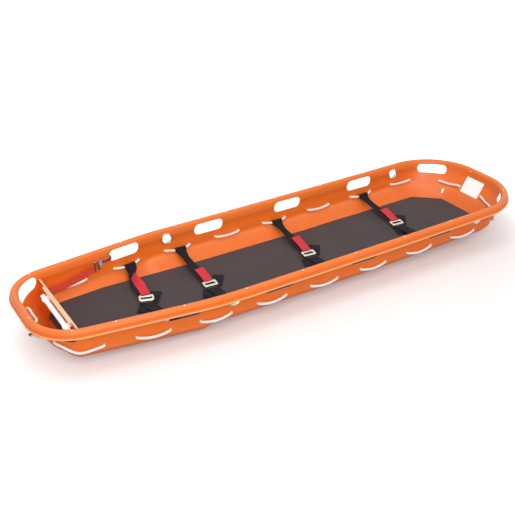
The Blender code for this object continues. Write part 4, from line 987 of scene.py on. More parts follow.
def shell_half():
    """Half of the inner face: a curve through each section's corners, then floor and runners."""
    distance = shell_distances()
    point, normal = plan(distance)
    insets, heights = section(distance)
    profile = through(np.stack((insets, heights), 2), 3)
    flat = point[:, None] - normal[:, None] * profile[..., :1]
    ring = stacked(flat, risen(flat[..., 0], profile[..., 1])[..., None])
    shares = np.array((0.05, 0.1, *np.linspace(*RUNNER_SHARES[:2], 5), 0.25, 0.32,
                       *np.linspace(*RUNNER_SHARES[2:], 5), 0.5, 0.65, 0.82, 1.0))
    dip = (smooth_step((shares - RUNNER_SHARES[0]) / (RUNNER_SHARES[1] - RUNNER_SHARES[0]))
           - smooth_step((shares - RUNNER_SHARES[2]) / (RUNNER_SHARES[3] - RUNNER_SHARES[2])))
    edge = ring[:, -1]
    spine = np.clip(point[:, 0], SPINE_FOOT_INSET - CROWN_X, CROWN_X - SPINE_HEAD_INSET)
    fade = (np.abs(point[:, 0]) - RUNNER_FADE[0]) / (RUNNER_FADE[1] - RUNNER_FADE[0])
    depth = RUNNER_DEPTH * (1.0 - smooth_step(fade))
    x = edge[:, :1] + (spine[:, None] - edge[:, :1]) * shares
    y = edge[:, 1:2] * (1.0 - shares)
    z = risen(x, FLOOR_Z) - depth[:, None] * dip
    return np.concatenate((ring, np.stack((x, y, z), 2)), 1)


def prism(outline, depth, place):
    """Cutter: an outline carried straight through a wall."""
    layers = np.array((-depth / 2, depth / 2))[:, None, None]
    flat = np.broadcast_to(outline[None], (2,) + outline.shape)
    mesh = tidy_mesh(grid_mesh(stacked(flat, layers), wrap_cols=True, caps=True))
    mesh.transform(place)
    return mesh


def flat_frame(around, height, depth, beyond):
    """Place of a level cutter of this depth, that ends this far outside the inner face."""
    point, inward = wall_spot(around, height)
    outward = unit(np.array((-inward[0], -inward[1], 0.0)))
    return facing(point - outward * (depth / 2 - beyond), outward)


def shell_cutters():
    """Hand holes, eyelet bores, drain slots and rope holes."""
    cutters = []
    foot_corner = PLAN[0][3] + PLAN[1][3] / 2 + CORNER_HANDLE_SHIFT
    head_start = sum(piece[3] for piece in PLAN[:5])
    head_corner = head_start + PLAN[5][3] / 2 - CORNER_HANDLE_SHIFT
    drain = head_start + HEAD_CORNER_RADIUS * math.radians(DRAIN_SLOT_ANGLE)
    holes = [(distance_at_x(x), HANDLE_HEIGHT, CUT_BEYOND) for x in HANDLE_X]
    holes.append((foot_corner, HANDLE_HEIGHT, CORNER_CUT_BEYOND))
    holes.append((head_corner, HEAD_HANDLE_HEIGHT, CORNER_CUT_BEYOND))
    for side in (-1, 1):
        for distance, tall, beyond in holes:
            outline = rounded_outline(HANDLE_WIDTH, tall, HANDLE_CORNER * tall / HANDLE_HEIGHT, 12)
            place = flat_frame(around_at(distance, side), HANDLE_Z, HANDLE_CUT, beyond)
            cutters.append(prism(outline, HANDLE_CUT, place))
        for x in EYELET_X:
            around = around_at(distance_at_x(x), side)
            place = flat_frame(around, EYELET_Z, EYELET_CUT, CUT_BEYOND)
            cutters.append(prism(circle(EYELET_BARREL + GAP), EYELET_CUT, place))
        point, inward = wall_spot(around_at(drain, side), DRAIN_SLOT_Z)
        outline = rounded_outline(*DRAIN_SLOT, DRAIN_SLOT_CORNER, 6)
        cutters.append(prism(outline, SMALL_CUT, facing(point, -inward)))
    for around in (*ROPE_HOLES, KNOT_AT):
        point, inward = wall_spot(around, rope_level(around))
        cutters.append(prism(circle(ROPE_HOLE_RADIUS, 20), SMALL_CUT, facing(point, -inward)))
    return cutters


def baked(made):
    """Mesh of an object with its modifiers applied. The object is removed."""
    bpy.context.view_layer.update()
    shown = made.evaluated_get(bpy.context.evaluated_depsgraph_get())
    mesh = bpy.data.meshes.new_from_object(shown)
    bpy.data.objects.remove(made, do_unlink=True)
    return mesh


def make_shell():
    """One-piece shell: half surface, mirrored, given its wall, then cut."""
    surface = shell_half()[:, ::-1]
    half = grid_mesh(surface)
    # Painted highlight for each point of the surface, kept as an attribute that the shell material reads.
    levels = np.linspace(0.0, len(LEVEL_HIGHLIGHT) - 1, 3 * (len(LEVEL_HIGHLIGHT) - 1) + 1)
    highlight_share = np.zeros(surface.shape[:2])
    highlight_share[:, -len(levels):] = np.interp(levels, np.arange(len(LEVEL_HIGHLIGHT)), LEVEL_HIGHLIGHT)[::-1]
    half.attributes.new(HIGHLIGHT_ATTRIBUTE, "FLOAT", "POINT").data.foreach_set("value", highlight_share.ravel())
    shape = bmesh.new()
    shape.from_mesh(half)
    bmesh.ops.remove_doubles(shape, verts=shape.verts, dist=MERGE)
    shape.to_mesh(half)
    shape.free()
    made = placed("shell_half", half)
    mirror = made.modifiers.new("Mirror", "MIRROR")
    mirror.use_axis = (False, True, False)
    mirror.use_clip = True
    mirror.merge_threshold = MERGE
    thick = made.modifiers.new("Wall", "SOLIDIFY")
    thick.thickness = SHELL_WALL
    thick.offset = 1.0
    thick.use_even_offset = True
    thick.use_quality_normals = True
    group = bpy.data.collections.new("cutters")
    bpy.context.scene.collection.children.link(group)
    for mesh in shell_cutters():
        group.objects.link(bpy.data.objects.new("cutter", mesh))
    cut = made.modifiers.new("Holes", "BOOLEAN")
    cut.operand_type = "COLLECTION"
    cut.collection = group
    cut.solver = "EXACT"
    mesh = baked(made)
    for cutter in list(group.objects):
        bpy.data.objects.remove(cutter, do_unlink=True)
    bpy.data.collections.remove(group)
    mesh.shade_smooth()
    mesh.set_sharp_from_angle(angle=math.radians(38))
    add_piece("moulded_shell", mesh, "shell", "basket", "shell", "shell")


def make_rivets():
    """Domed rivet heads along the crown."""
    spots = []
    for side in (-1.0, 1.0):
        for x in (RIVET_FOOT_X, *(RIVET_FIRST_X + RIVET_PITCH * step for step in range(RIVET_COUNT))):
            point = plan(distance_at_x(x))[0]
            spots.append((point[0], side * point[1]))
    spots += RIVET_END_SPOTS
    turn = np.linspace(0.0, math.pi / 2, 5)
    profile = np.stack((np.cos(turn) * RIVET_RADIUS, np.sin(turn) * RIVET_RISE), 1)
    profile[-1, 0] = 0.0
    profile = np.concatenate((((0.0, RIVET_SEAT), (RIVET_RADIUS, RIVET_SEAT)), profile))
    shape = bmesh.new()
    for x, y in spots:
        height = float(risen(np.array(x), RIM_HEIGHT)) - RIVET_SINK
        mesh = turned_mesh(profile, Matrix.Translation((x, y, height)), 20)
        shape.from_mesh(mesh)
        bpy.data.meshes.remove(mesh)
    mesh = bpy.data.meshes.new("rim_rivets")
    shape.to_mesh(mesh)
    shape.free()
    mesh.shade_smooth()
    add_piece("rim_rivets", mesh, "steel", "basket", "steel")


# Rope


def rope_level(around):
    """Section height of the rope's holes: lower along the legs, higher at the foot end."""
    point, normal = plan(half_plan(around)[0])
    foot = zone_shares(point, normal)[:, 2]
    legs = smooth_step((ROPE_LEG_FROM_X - point[:, 0]) / (ROPE_LEG_FROM_X - ROPE_LEG_TO_X))
    return ROPE_Z - ROPE_LEG_DROP * legs * (1.0 - foot) + ROPE_FOOT_LIFT * foot


def rope_point(around, offset, drop=0.0):
    """Point this far inward from the inner wall face, this far below the rope's holes."""
    point, inward = wall(around, rope_level(around) - drop)
    return (point + inward * offset)[0]


def around_per_metre(around):
    """Way round the rim per metre along the rope's inside runs."""
    reach = 0.002
    gap = rope_point(around + reach, ROPE_INSIDE) - rope_point(around - reach, ROPE_INSIDE)
    return 2 * reach / float(np.linalg.norm(gap))


def strap_x(run):
    """Place along the basket where a strap holds an inside run of the rope."""
    return ROPE_FIRST_X + ROPE_PITCH * run + ROPE_INSIDE_RUN / 2 + STRAP_SHIFT


def rope_holes():
    """Ways round the rim of the rope's holes, in order from the knot."""
    near = [distance_at_y(KNOT_ROPE_Y[1], False)]
    side = []
    for pair in range(ROPE_PAIRS):
        x = ROPE_FIRST_X + ROPE_PITCH * pair
        side += [distance_at_x(x), distance_at_x(x + ROPE_INSIDE_RUN)]
    head_y = CROWN_Y - HEAD_CORNER_RADIUS
    head_y += HEAD_CORNER_RADIUS * math.sin(math.radians(HEAD_ROPE_ANGLE))
    side += [distance_at_y(head_y, True), distance_at_y(HEAD_ROPE_Y, True)]
    far = [2 * HALF_LENGTH - distance for distance in reversed(side)]
    far.append(2 * HALF_LENGTH - distance_at_y(FOOT_ROPE_Y[1], False))
    far.append(2 * HALF_LENGTH - FOOT_ROPE_Y[0])
    far.append(2 * HALF_LENGTH + distance_at_y(KNOT_ROPE_Y[0], False))
    return near + side + far


ROPE_HOLES = rope_holes()
KNOT_AT = distance_at_y(sum(KNOT_ROPE_Y) / 2, False)
STRAP_PLACES = [around_at(distance_at_x(strap_x(run)), side)
                for run in STRAP_RUNS for side in (-1, 1)]


def run_stops(start, run, inside, corner):
    """Share, drop and slack of each point between two holes. A strap pulls its run straight."""
    if inside:
        for place in STRAP_PLACES:
            share = (place - start) / run
            if 0.0 < share < 1.0:
                reach = (STRAP_WIDTH / 2 + STRAP_MARGIN) / run
                return [(share + step * reach, STRAP_PULL, 0.0) for step in (-1, 0, 1)]
    steps = max(3, round(run / (ROPE_CORNER_STEP if corner else ROPE_STEP)))
    stops = []
    for step in range(1, steps):
        swing = math.sin(math.pi * step / steps)
        sag, slack = (ROPE_SAG_INSIDE, 0.0) if inside else (ROPE_SAG_OUTSIDE, ROPE_SLACK)
        stops.append((step / steps, sag * swing, slack * swing))
    return stops


def rope_route():
    """Points of the rope: quarter turns at each hole, with the runs between them."""
    middle = -SHELL_WALL / 2
    knot_end = KNOT_END * around_per_metre(KNOT_AT)
    points = [rope_point(KNOT_AT + knot_end, ROPE_INSIDE)]
    inside = True
    for number, hole in enumerate(ROPE_HOLES):
        before, after = (ROPE_INSIDE, ROPE_OUTSIDE) if inside else (ROPE_OUTSIDE, ROPE_INSIDE)
        bend = ROPE_BEND * around_per_metre(hole)
        for degrees in (0.0, 45.0, 90.0):
            turn = math.radians(degrees)
            points.append(rope_point(hole + bend * (math.sin(turn) - 1.0),
                                     middle + (before - middle) * math.cos(turn)))
        for degrees in (45.0, 90.0):
            turn = math.radians(degrees)
            points.append(rope_point(hole + bend * (1.0 - math.cos(turn)),
                                     middle + (after - middle) * math.sin(turn)))
        inside = not inside
        if number + 1 == len(ROPE_HOLES):
            break
        following = ROPE_HOLES[number + 1]
        run = following - hole - bend - ROPE_BEND * around_per_metre(following)
        normals = plan(half_plan([hole, following])[0])[1]
        corner = float(normals[0] @ normals[1]) < math.cos(ROPE_CORNER_TURN)
        for share, drop, slack in run_stops(hole + bend, run, inside, corner):
            points.append(rope_point(hole + bend + run * share, after - slack, drop))
    points.append(rope_point(KNOT_AT - knot_end, ROPE_INSIDE))
    return np.array(points)


def make_rope():
    """Woven rope, the knot that joins its ends, and the tail with a dark tip."""
    curve = through(rope_route()[None], 5)[0]
    add_piece("woven_rope", tube_mesh(curve, ROPE_RADIUS), "rope", "basket", "rope",
              "perimeter_rope")
    point, inward = wall_spot(KNOT_AT, rope_level(KNOT_AT))
    ends = [rope_point(KNOT_AT + reach, ROPE_INSIDE) for reach in (-0.01, 0.01)]
    ahead = unit(ends[1] - ends[0])
    seat = point + inward * KNOT_SEAT
    side = unit(inward - ahead * (inward @ ahead))
    third = np.cross(ahead, side)
    share = np.linspace(0.0, 1.0, int(KNOT_TURNS * 14))
    turn = share * KNOT_TURNS * 2 * math.pi
    coil = (seat + ahead * ((share - 0.5) * KNOT_LENGTH)[:, None]
            + (side * np.cos(turn)[:, None] + third * np.sin(turn)[:, None]) * KNOT_TURN_RADIUS)
    add_piece("knot_turns", tube_mesh(coil, KNOT_CORD_RADIUS, 12), "rope", "basket", "rope",
              "rope_knot")
    scale = around_per_metre(KNOT_AT)
    route = np.array([rope_point(KNOT_AT + shift * scale, -out - GAP, -rise)
                      for shift, out, rise in TAIL_ROUTE])
    tail = through(route[None], 6)[0]
    add_piece("short_tail", tube_mesh(tail, TAIL_RADIUS, 14), "rope", "basket", "rope", "rope_tail")
    ahead = unit(route[-1] - route[-2])
    share = np.array((0.0, 0.04, 0.12, 0.5, 0.88, 0.96, 1.0))
    swell = np.array((0.6, 0.9, 1.0, 1.0, 1.0, 0.9, 0.6)) * TAIL_TIP_RADIUS
    tip = route[-1] + ahead * GAP + ahead * (share * TAIL_TIP_LENGTH)[:, None]
    add_piece("tail_tip", tube_mesh(tip, swell), "tip", "basket", "webbing", "rope_tail_tip")


# Mat


def mat_top(x):
    """World height of the mat's top near its edge."""
    return risen(x, FLOOR_Z) + 3 * GAP + MAT_THICKNESS


def mat_half(x):
    """Half width of the mat at x: straight sides, drawn in at the head, with cut corners."""
    foot = MAT_FOOT_END_Y + np.maximum(x - MAT_FOOT_X, 0.0)
    head = MAT_HEAD_END_Y + np.maximum(MAT_HEAD_X - x, 0.0)
    share = (x - MAT_NARROWS_FROM_X) / (MAT_HEAD_X - MAT_CHAMFER_X - MAT_NARROWS_FROM_X)
    sides = MAT_HALF_WIDTH - MAT_HEAD_NARROWING * np.clip(share, 0.0, 1.0)
    return np.minimum(np.minimum(foot, head), sides)


def make_mat():
    """Foam mat: a crowned section with rounded edges, fitted to the floor and walls."""
    x = np.linspace(MAT_FOOT_X, MAT_HEAD_X, round((MAT_HEAD_X - MAT_FOOT_X) / MAT_ROW))
    cuts = (MAT_FOOT_X + MAT_HALF_WIDTH - MAT_FOOT_END_Y,
            MAT_HEAD_X - MAT_HALF_WIDTH + MAT_HEAD_NARROWING + MAT_HEAD_END_Y)
    ends = np.array(MAT_END_ROWS)
    x = np.unique(np.concatenate((x, cuts, MAT_FOOT_X + ends, MAT_HEAD_X - ends)))
    below = risen(x, FLOOR_Z) + 3 * GAP
    limit = mat_half(x)
    rise = np.array((0.0, 0.12, 0.35, 0.6, 0.8, 0.9, 0.965, 1.0))
    pull = np.array((0.0012, 0.0004, 0.0, 0.0, 0.0004, 0.0012, 0.0026, MAT_EDGE + 0.001))
    z = below[:, None] + MAT_THICKNESS * rise
    width = np.array([[inner_half_width(spot, section_height(spot, height)) for height in row]
                      for spot, row in zip(x, z)]) - MAT_GAP
    side = np.minimum(width, limit[:, None]) - pull
    across = np.array((0.97, 0.9, 0.75, 0.5, 0.25))
    top_y = side[:, -1:] * across
    top_z = below[:, None] + MAT_THICKNESS + MAT_CROWN * (1.0 - across ** 2)
    right = np.concatenate((np.stack((side, z), 2), np.stack((top_y, top_z), 2)), 1)
    middle = np.stack((np.zeros((len(x), 1)), below[:, None] + MAT_THICKNESS + MAT_CROWN), 2)
    left = right[:, ::-1] * (-1.0, 1.0)
    loop = np.concatenate((right, middle, left), 1)
    tuck = np.zeros(len(x))
    tuck[[0, -1]], tuck[[1, -2]] = MAT_END_TUCKS
    share = (loop[..., 1] - below[:, None]) / MAT_THICKNESS
    loop[..., 1] = loop[..., 1] - tuck[:, None] * np.sign(share - 0.5)
    points = np.concatenate((np.broadcast_to(x[:, None, None], loop.shape[:2] + (1,)), loop), 2)
    mesh = tidy_mesh(grid_mesh(points, wrap_cols=True, caps=True), 50)
    made = add_piece("foam_mat", mesh, "mat", "basket", "mat", "mattress")


# Body straps


def webbing_height(x):
    """Height of the middle of webbing that lies on the mat at x."""
    return float(mat_top(np.array(x))) + MAT_CROWN + 2 * GAP + WEBBING / 2


def strap_anchor(run, side):
    """Rope centre, rope direction and inward direction where a strap half hangs."""
    around = around_at(distance_at_x(strap_x(run)), side)
    reach = STRAP_WIDTH / 2
    centre = rope_point(around, ROPE_INSIDE, STRAP_PULL)
    along = unit(rope_point(around + reach, ROPE_INSIDE, STRAP_PULL)
                 - rope_point(around - reach, ROPE_INSIDE, STRAP_PULL))
    if along[0] < 0:
        along = -along
    inward = np.cross(along, UP) if side > 0 else np.cross(UP, along)
    return centre, along, unit(inward)


def buckle_matrix(number, run):
    """Frame of a buckle: X along the basket, Y towards the right wall, Z up."""
    x = strap_x(run) + BUCKLE_SHIFTS[number]
    height = float(mat_top(np.array(x))) + MAT_CROWN + BUCKLE_LIFT
    turn = Matrix.Rotation(math.radians(BUCKLE_TURNS[number]), 4, "Z")
    tilt = Matrix.Rotation(math.radians(BUCKLE_TILT), 4, "X")
    return Matrix.Translation((x, BUCKLE_Y[number], height)) @ turn @ tilt


def strap_leave(anchor):
    """Point where a strap half leaves its loop."""
    centre, _, inward = anchor
    return centre + inward * (STRAP_LOOP + STRAP_LEAVE_IN) - UP * STRAP_LEAVE_DROP


def strap_half(anchor, target, target_across, bow):
    """Centres, width directions and widths from the loop round the rope to the buckle."""
    centre, along, inward = anchor
    angle = np.radians(np.arange(*STRAP_LOOP_ANGLES))[:, None]
    loop = centre + (inward * np.cos(angle) + UP * np.sin(angle)) * STRAP_LOOP
    leave = strap_leave(anchor)
    share, wide = np.array(STRAP_SPAN).T
    span = leave + (target - leave) * share[:, None]
    span = span - UP * (STRAP_SPAN_SAG * np.sin(math.pi * share))[:, None]
    span[:, 0] += bow * np.sin(math.pi * share)
    turned = unit(along + (target_across - along) * share[:, None])
    across = np.concatenate((np.broadcast_to(along, (len(loop), 3)), turned))
    widths = np.concatenate((np.full(len(loop), STRAP_WIDTH), wide))
    return np.concatenate((loop, span)), across, widths


def spot_in(place, x, y, z):
    """World point of a point in a frame."""
    return np.array(place @ Vector((x, y, z)))


def make_strap(number, run):
    """One body strap: two webbing halves, buckle, tongue, red tab and free end."""
    name = f"strap_{number + 1}"
    place = buckle_matrix(number, run)
    across = np.array(place.to_3x3() @ Vector((1.0, 0.0, 0.0)))
    right = strap_anchor(run, 1)
    far_edge = spot_in(place, 0.0, BUCKLE_WIDTH / 2 + 3 * GAP, 0.0)
    far = band_mesh(*strap_half(right, far_edge, across, STRAP_BOWS[number]), WEBBING)
    outer = rounded_outline(BUCKLE_LENGTH, BUCKLE_WIDTH, BUCKLE_WIDTH * BUCKLE_CORNER_SHARE)
    inner = rounded_outline(*BUCKLE_SLOT, BUCKLE_SLOT[1] * BUCKLE_SLOT_CORNER_SHARE)
    buckle = ring_plate(outer, inner, BUCKLE_THICKNESS, place)
    below = -BUCKLE_THICKNESS / 2 - GAP - TONGUE_THICKNESS / 2
    tongue_y = BUCKLE_WIDTH / 2 - TONGUE_INSET - TONGUE_LENGTH / 2
    outline = rounded_outline(TONGUE_WIDTH, TONGUE_LENGTH, TONGUE_CORNER)
    tongue = solid_plate(outline, TONGUE_THICKNESS,
                         place @ Matrix.Translation((0.0, tongue_y, below)))
    near_edge = spot_in(place, 0.0, tongue_y - TONGUE_LENGTH / 2 - 3 * GAP, below)
    near = band_mesh(*strap_half(strap_anchor(run, -1), near_edge, across, 0.0), WEBBING)
    tab = tab_mesh(number, place, right, far_edge, across)
    loose = lying_band(place, FREE_END_STARTS[number], FREE_END_TURN, FREE_END_LENGTH, FREE_END_WIDTH)
    fold = lying_band(place, FOLD_STARTS[number], FOLD_TURNS[number], FOLD_LENGTH, FOLD_WIDTH)
    for part, mesh, material, body, slot, *nodes in (
            ("far_webbing", far, "webbing", "right_half", "webbing", "right_web"),
            ("frame", buckle, "steel", "right_half", "steel", "buckle"),
            ("plate", tongue, "dark_plate", "left_half", "steel", "tongue"),
            ("near_webbing", near, "webbing", "left_half", "webbing", "left_web"),
            ("pull_tab", tab, "red", "tab", "red", "release_tab"),
            ("loose_end", loose, "webbing", "left_half", "webbing", "free_end"),
            ("fold", fold, "webbing", "left_half", "webbing")):
        add_piece(f"{name}_{part}", mesh, material, f"{name}_{body}", slot,
                  *(f"{name}_{node}" for node in nodes))


def tab_mesh(number, place, anchor, edge, across):
    """Red pull tab that lies on the far half, hinged at the buckle's far bar."""
    ahead = anchor[0] - np.array(place.translation)
    ahead[2] = 0.0
    turn = Matrix.Rotation(math.radians(TAB_TURNS[number]), 3, "Z")
    ahead = np.array(turn @ Vector(unit(ahead)))
    lift = BUCKLE_THICKNESS / 2 + WEBBING / 2 + 3 * GAP
    start = spot_in(place, 0.0, BUCKLE_WIDTH / 2 - TAB_SEAT, lift)
    share = np.linspace(0.0, 1.0, 9)
    leave = strap_leave(anchor)
    reach = TAB_LENGTHS[number] / float(np.linalg.norm(leave[:2] - edge[:2])) * share
    rise = (leave[2] - edge[2]) * reach - STRAP_SPAN_SAG * np.sin(math.pi * reach)
    rise += TAB_ARCH * np.sin(math.pi * share) + TAB_ARCH * share
    centres = start + ahead * (TAB_LENGTHS[number] * share)[:, None] + UP * rise[:, None]
    twist = smooth_step((share - TAB_TWIST_FROM) / (1.0 - TAB_TWIST_FROM))[:, None]
    twist = np.radians(TAB_TWISTS[number]) * twist
    sides = across * np.cos(twist) + UP * np.sin(twist)
    centres = centres + UP * (np.abs(np.sin(twist)) * TAB_WIDTH * TAB_TWIST_LIFT)
    centres = centres - across * ((1.0 - np.cos(twist)) * TAB_WIDTH * TAB_TWIST_SHIFT)
    return band_mesh(centres, sides, TAB_WIDTH, WEBBING, 8)


def lying_band(place, start, turn, length, width):
    """Webbing that lies on the mat beside the buckle: a loose end or a fold."""
    turn = math.radians(turn)
    ahead = np.array((math.cos(turn), math.sin(turn), 0.0))
    across = np.array((math.sin(turn), -math.cos(turn), 0.0))
    share, bulge = np.array(FREE_END_ROUTE).T
    centres = np.array(place.translation) + (*start, 0.0) + ahead * (length * share)[:, None]
    centres[:, 2] = np.array([webbing_height(x) for x in centres[:, 0]]) + bulge
    return band_mesh(centres, across, width, WEBBING, 8)


# Eyelets, foot board and foot straps


def make_eyelets():
    """Lifting eyelets: two rolled flanges on a barrel through the wall."""
    grip = EYELET_INNER_INSET - EYELET_OUTER_INSET
    roll = np.linspace(0.0, math.pi, 7)
    reach = (EYELET_FLANGE - EYELET_BORE) / 2
    ring = (EYELET_FLANGE + EYELET_BORE) / 2
    inner = np.stack((ring - reach * np.cos(roll), -EYELET_LIP * np.sin(roll)), 1)
    outer = np.stack((ring + reach * np.cos(roll), grip + EYELET_LIP * np.sin(roll)), 1)
    barrel = ((EYELET_BARREL, 0.0), (EYELET_BARREL, grip))
    profile = np.concatenate((inner, barrel, outer))
    for side, side_name in SIDES:
        for x, end in zip(EYELET_X, ("foot", "head")):
            point, normal = plan(distance_at_x(x))
            flat = point - normal * EYELET_INNER_INSET
            spot = (flat[0], side * flat[1], float(risen(flat[0], EYELET_Z)))
            place = facing(spot, (normal[0], side * normal[1], 0.0))
            add_piece(f"lifting_eye_{end}_{side_name}", turned_mesh(profile, place), "steel",
                      "basket", "steel", f"eyelet_{end}_{side_name}")


def board_frame():
    """Foot board's frame: X across the basket, Y up the board, Z towards the head end."""
    lean = math.radians(BOARD_LEAN)
    across = Vector((0.0, 1.0, 0.0))
    above = Vector((-math.sin(lean), 0.0, math.cos(lean)))
    front = across.cross(above)
    height = float(mat_top(np.array(BOARD_FOOT_X))) + MAT_CROWN + 2 * GAP
    base = (BOARD_FOOT_X, 0.0, height + BOARD_THICKNESS / 2 * math.sin(lean))
    return placed_axes(base, across, above, front)


def board_top(place):
    """Height of the foot board along its own face."""
    return (BOARD_TOP_Z - place.translation.z) / math.cos(math.radians(BOARD_LEAN))


def make_foot_board():
    """Board, its lip and top edge in a pale colour that is a painted highlight on the board's lit top,
    white grip bar with two feet, and bolts.
    """
    place = board_frame()
    top = board_top(place)
    share = np.array((0.0, 0.06, 0.12, 0.2, 0.3, 0.45, 0.6, 0.75, 0.93, 0.97, 1.0))
    halves = []
    for step in share:
        point = place @ Vector((0.0, top * step, 0.0))
        halves.append(inner_half_width(point.x, section_height(point.x, point.z)) - BOARD_SIDE_GAP)
    narrow = BOARD_TOP_CORNER * np.clip((share - 0.93) / 0.07, 0.0, 1.0) ** 2
    side = np.stack((np.array(halves) - narrow, top * share), 1)
    panel = np.concatenate((side, side[::-1] * (-1, 1)))
    back = -BOARD_THICKNESS / 2
    reach = BOARD_LIP_THICKNESS + BOARD_THICKNESS + LIP_COVER
    lip = rounded_outline(2 * BOARD_LIP_HALF, BOARD_LIP_HEIGHT, LIP_CORNER)
    lip_at = (0.0, top - BOARD_LIP_HEIGHT / 2 + LIP_COVER, back - BOARD_LIP_THICKNESS + reach / 2)
    cap = rounded_outline(2 * (halves[-1] - BOARD_TOP_CORNER), EDGE_CAP_HEIGHT, EDGE_CAP_CORNER)
    cap_at = (0.0, top - EDGE_CAP_HEIGHT / 2 + LIP_COVER / 2, 0.0)
    for name, outline, thickness, middle, edge, material, *nodes in (
            ("footrest_panel", panel, BOARD_THICKNESS, (0.0, 0.0, 0.0), BOARD_EDGE, "board",
             "foot_board"),
            # The lip and the top edge take the pale colour: a painted highlight on the board's top.
            ("footrest_lip", lip, reach, lip_at, LIP_EDGE, "lip"),
            ("footrest_edge", cap, BOARD_THICKNESS + LIP_COVER, cap_at, EDGE_CAP_EDGE, "lip")):
        mesh = solid_plate(outline, thickness, place @ Matrix.Translation(middle), edge)
        add_piece(name, mesh, material, "foot_board", "shell", *nodes)
    centre = back - BAR_STAND_OFF - BAR_THICKNESS / 2
    x = np.array((-1.0, -0.996, -0.985, -0.5, 0.0, 0.5, 0.985, 0.996, 1.0)) * BAR_HALF
    taper = np.array((0.80, 0.95, 1.0, 1.0, 1.0, 1.0, 1.0, 0.95, 0.80))
    ring = soft_outline(28, 0.5, 0.5) * (BAR_HEIGHT, BAR_THICKNESS)
    points = np.stack((np.broadcast_to(x[:, None], (len(x), len(ring))),
                       ring[None, :, 0] * taper[:, None] + top - BAR_BELOW_TOP,
                       ring[None, :, 1] * taper[:, None] + centre), 2)
    mesh = tidy_mesh(grid_mesh(points, wrap_cols=True, caps=True), 50)
    mesh.transform(place)
    add_piece("grip_bar", mesh, "bar", "foot_board", "rope", "foot_board_bar")
    depth = BAR_STAND_OFF + BAR_FOOT_SINK
    outline = rounded_outline(2 * BAR_FOOT_HALF, BAR_HEIGHT * 0.8, BAR_FOOT_CORNER)
    profile = np.array(((0.0, 0.0), (1.0, 0.0), (1.0, 0.5), (0.8, 0.85), (0.4, 1.0), (0.0, 1.0)))
    profile = profile * (BOLT_RADIUS, -BOLT_HEIGHT)
    for side, side_name in SIDES:
        at = (side * BOLT_Y, top - BAR_BELOW_TOP, back - GAP - depth / 2)
        mesh = solid_plate(outline, depth, place @ Matrix.Translation(at))
        add_piece("bar_foot_" + side_name, mesh, "bar", "foot_board", "rope")
        at = (side * BOLT_Y, top - BAR_BELOW_TOP, centre - BAR_THICKNESS / 2)
        mesh = turned_mesh(profile, place @ Matrix.Translation(at), 32)
        add_piece("bar_bolt_" + side_name, mesh, "bar", "foot_board", "steel",
                  "foot_board_bolt_" + side_name)


def make_foot_straps():
    """Red webbing from the board to an adjuster, and a hook through the next hand hole."""
    place = board_frame()
    board_up = np.array(place.to_3x3() @ Vector((0.0, 1.0, 0.0)))
    on_board = spot_in(place, 0.0, board_top(place) * FOOT_STRAP_SHARE, BOARD_THICKNESS / 2)
    hole_edge = HANDLE_X[0] - HANDLE_WIDTH / 2
    share, upright = np.array(FOOT_STRAP_ROUTE).T
    for side, side_name in SIDES:
        start = np.array((on_board[0] + 2 * GAP, side * FOOT_STRAP_Y, on_board[2]))
        half = inner_half_width(ADJUSTER_X, section_height(ADJUSTER_X, ADJUSTER_Z))
        adjuster = np.array((ADJUSTER_X, side * (half - ADJUSTER_WALL_GAP), ADJUSTER_Z))
        ahead = unit(adjuster - start)
        stop = adjuster - ahead * (ADJUSTER_LENGTH / 2 + GAP)
        centres = start + (stop - start) * share[:, None]
        centres = centres - UP * (FOOT_STRAP_SAG * np.sin(math.pi * share))[:, None]
        sides = board_up + (UP - board_up) * upright[:, None]
        mesh = band_mesh(centres, sides, FOOT_STRAP_WIDTH, WEBBING, 8)
        band = add_piece("foot_band_" + side_name, mesh, "foot_strap", None, "red",
                         "foot_strap_" + side_name)
        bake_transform(band)
        across = unit(np.array((ahead[0], ahead[1], 0.0)))
        frame_place = placed_axes(adjuster, UP, across, np.cross(UP, across))
        outer = rounded_outline(ADJUSTER_HEIGHT, ADJUSTER_LENGTH, ADJUSTER_CORNER)
        inner = rounded_outline(*ADJUSTER_SLOT, ADJUSTER_SLOT_CORNER)
        mesh = ring_plate(outer, inner, ADJUSTER_THICKNESS, frame_place)
        add_piece("slide_frame_" + side_name, mesh, "steel", "basket", "steel",
                  "foot_strap_adjuster_" + side_name)
        at_edge, inside = (inner_half_width(x, section_height(hole_edge, HOOK_Z))
                           for x in (hole_edge, hole_edge + HOOK_REACH))
        hook = np.array([(hole_edge + x, side * (half + out), HOOK_Z) for half, route in (
            (at_edge, HOOK_ALONG_WALL), (inside, HOOK_INTO_HOLE),
            (inside + SHELL_WALL, HOOK_BEHIND_WALL)) for x, out in route])
        mesh = band_mesh(hook, UP, HOOK_HEIGHT, HOOK_THICKNESS, 3, soft_outline(20, 0.3, 0.5))
        add_piece("wall_hook_" + side_name, mesh, "steel", "basket", "steel",
                  "foot_strap_hook_" + side_name)
        first = adjuster + across * (ADJUSTER_LENGTH / 2 + GAP)
        last = hook[0] - unit(hook[1] - hook[0]) * GAP
        ends = first + (last - first) * np.array((0.0, 0.5, 1.0))[:, None]
        mesh = band_mesh(ends, UP, STRAP_END_WIDTH, WEBBING, 6)
        add_piece("end_band_" + side_name, mesh, "grey_band", "basket", "red",
                  "foot_strap_end_" + side_name)


# Camera, light and floor


